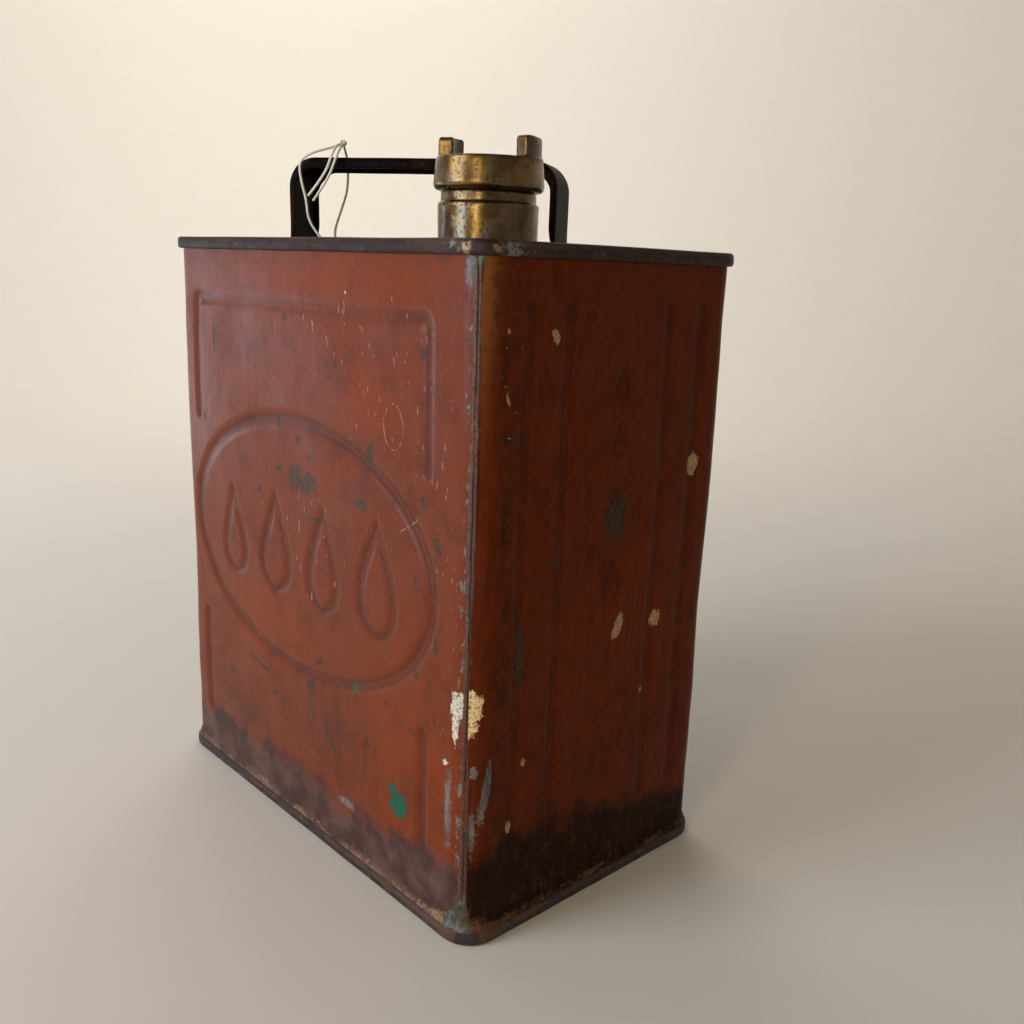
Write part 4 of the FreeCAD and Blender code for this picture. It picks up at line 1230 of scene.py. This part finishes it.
def build_knot():
    """An overhand knot: three fat turns of the string pulled tight on each other."""
    centre = handle_points([KNOT])[0] / MM
    points, faces, count = [], [], 0
    around, across = 44, 10
    turns = ((0, 0, 1.25, 0.95), (62, 25, 1.2, 0.9), (118, -30, 1.15, 0.95))
    for spin, lean, radius, wire in turns:
        turn = Matrix.Rotation(math.radians(spin), 3, "Z")
        turn = turn @ Matrix.Rotation(math.radians(90 + lean), 3, "X")
        t, p = np.mgrid[0:around, 0:across] * 2 * math.pi / np.array([around, across])[:, None, None]
        thick = wire * 0.62 * (1 + 0.07 * np.sin(7 * t + 2 * p))
        ring = radius + thick * np.cos(p)
        x, y, z = ring * np.cos(t) * 1.1, ring * np.sin(t) * 0.85, thick * np.sin(p)
        local = np.stack([x, y, z], axis=-1)
        made = local.reshape(-1, 3) @ np.array(turn).T + centre
        faces += grid_faces(around, across, True, True, start=count)
        points.append(made)
        count += len(made)
    return make_piece("knot", np.concatenate(points), faces, COTTON, "can", "string_knot", 60)


knot = build_knot()
string_loop = string_curve("string_round_bar", STRING_LOOP, "string_loop")
end_left = string_curve("string_tail_left", STRING_LEFT, "string_end_left")
end_right = string_curve("string_tail_right", STRING_RIGHT, "string_end_right")
loop_start = handle_points([STRING_LOOP[0]])[0]
for tail, places, length in ((end_left, STRING_LEFT, 0.0337), (end_right, STRING_RIGHT, 0.0351)):
    tuple(handle_points([places[0]])[0])


# ---- camera, stage and lights


CAMERA_PLACE = (390.48, -306.61, 272.1)
CAMERA_YAW, CAMERA_PITCH, CAMERA_ROLL = 137.045, -13.681, 2.103
CAMERA_LENS = 35.14
FLOOR_RADIUS, FLOOR_CURVE, WALL_TOP = 1500, 900, 2200
# The lamps: name, place, target, size, power and colour, in metres and watts.
LAMPS = (
    ("window", (-0.42, -1.32, 0.72), (0, 0, 0.15), (0.8, 0.85), 9.7, (0.97, 0.94, 0.91)),
    ("low_window", (-1.1, -0.4, 0.1), (0, 0, 0.15), (0.2, 0.5), 1.3, (0.66, 0.8, 1)),
    ("cool_card", (-0.26, -1.24, 0.3), (0.08, -0.04, 0.3), (0.34, 0.3), 2.6, (0.3, 0.6, 1)),
    ("warm_card", (0.46, -0.97, 0.36), (0.08, -0.04, 0.3), (0.16, 0.4), 2.4, (1, 0.78, 0.4)),
    ("backdrop_wash", (-1.2, 0.6, 1.6), (-1.7, 1.25, 0.35), (1.2, 1.2), 16, (1, 0.93, 0.83)),
)
ROOM_COLOUR = (1, 0.95, 0.88, 1)
ROOM_STRENGTH = 0.07


def place_camera():
    yaw, pitch, roll = (math.radians(angle) for angle in (CAMERA_YAW, CAMERA_PITCH, CAMERA_ROLL))
    forward = Vector((math.cos(yaw) * math.cos(pitch), math.sin(yaw) * math.cos(pitch), math.sin(pitch)))
    level_right = forward.cross(Vector((0, 0, 1))).normalized()
    level_up = level_right.cross(forward)
    right = level_right * math.cos(roll) + level_up * math.sin(roll)
    up = level_up * math.cos(roll) - level_right * math.sin(roll)
    data = bpy.data.cameras.new("camera")
    data.sensor_width = 36
    data.lens = CAMERA_LENS
    data.clip_start = 0.01
    camera = add_object("camera", data)
    turn = Matrix((right, up, -forward)).transposed().to_4x4()
    camera.matrix_world = Matrix.Translation(Vector(CAMERA_PLACE) * MM) @ turn
    bpy.context.scene.camera = camera


def build_stage():
    """A wide pale floor that curves up into a wall all round."""
    profile = [(0, 0), (400, 0), (900, 0), (FLOOR_RADIUS, 0)]
    for t in np.linspace(0.15, math.pi / 2, 12):
        profile.append((FLOOR_RADIUS + FLOOR_CURVE * math.sin(t), FLOOR_CURVE * (1 - math.cos(t))))
    profile.append((FLOOR_RADIUS + FLOOR_CURVE, WALL_TOP))
    points = turned(profile, (0, 0)).reshape(-1, 3)
    mesh = bpy.data.meshes.new("stage")
    mesh.from_pydata((points * MM).tolist(), [], grid_faces(len(profile), 96, wrap_columns=True))
    mesh.shade_smooth()
    paper = Finish("stage_paper")
    paper.base(paper.noise(40, seed=81), (246, 242, 236), (249, 246, 240))
    mesh.materials.append(paper.done(Roughness=0.85))
    add_object("stage", mesh)


def area_light(name, place, target, size, power, colour):
    data = bpy.data.lights.new(name, "AREA")
    data.shape = "RECTANGLE"
    data.size, data.size_y = size
    data.energy = power
    data.color = colour
    light = add_object(name, data)
    light.location = Vector(place)
    light.rotation_euler = (Vector(target) - Vector(place)).to_track_quat("-Z", "Y").to_euler()


place_camera()
build_stage()
for lamp in LAMPS:
    area_light(*lamp)
world = bpy.data.worlds.new("room")
world.use_nodes = True
room = world.node_tree.nodes["Background"].inputs
room["Color"].default_value = ROOM_COLOUR
room["Strength"].default_value = ROOM_STRENGTH
bpy.context.scene.world = world
bpy.context.scene.view_settings.view_transform = "Standard"
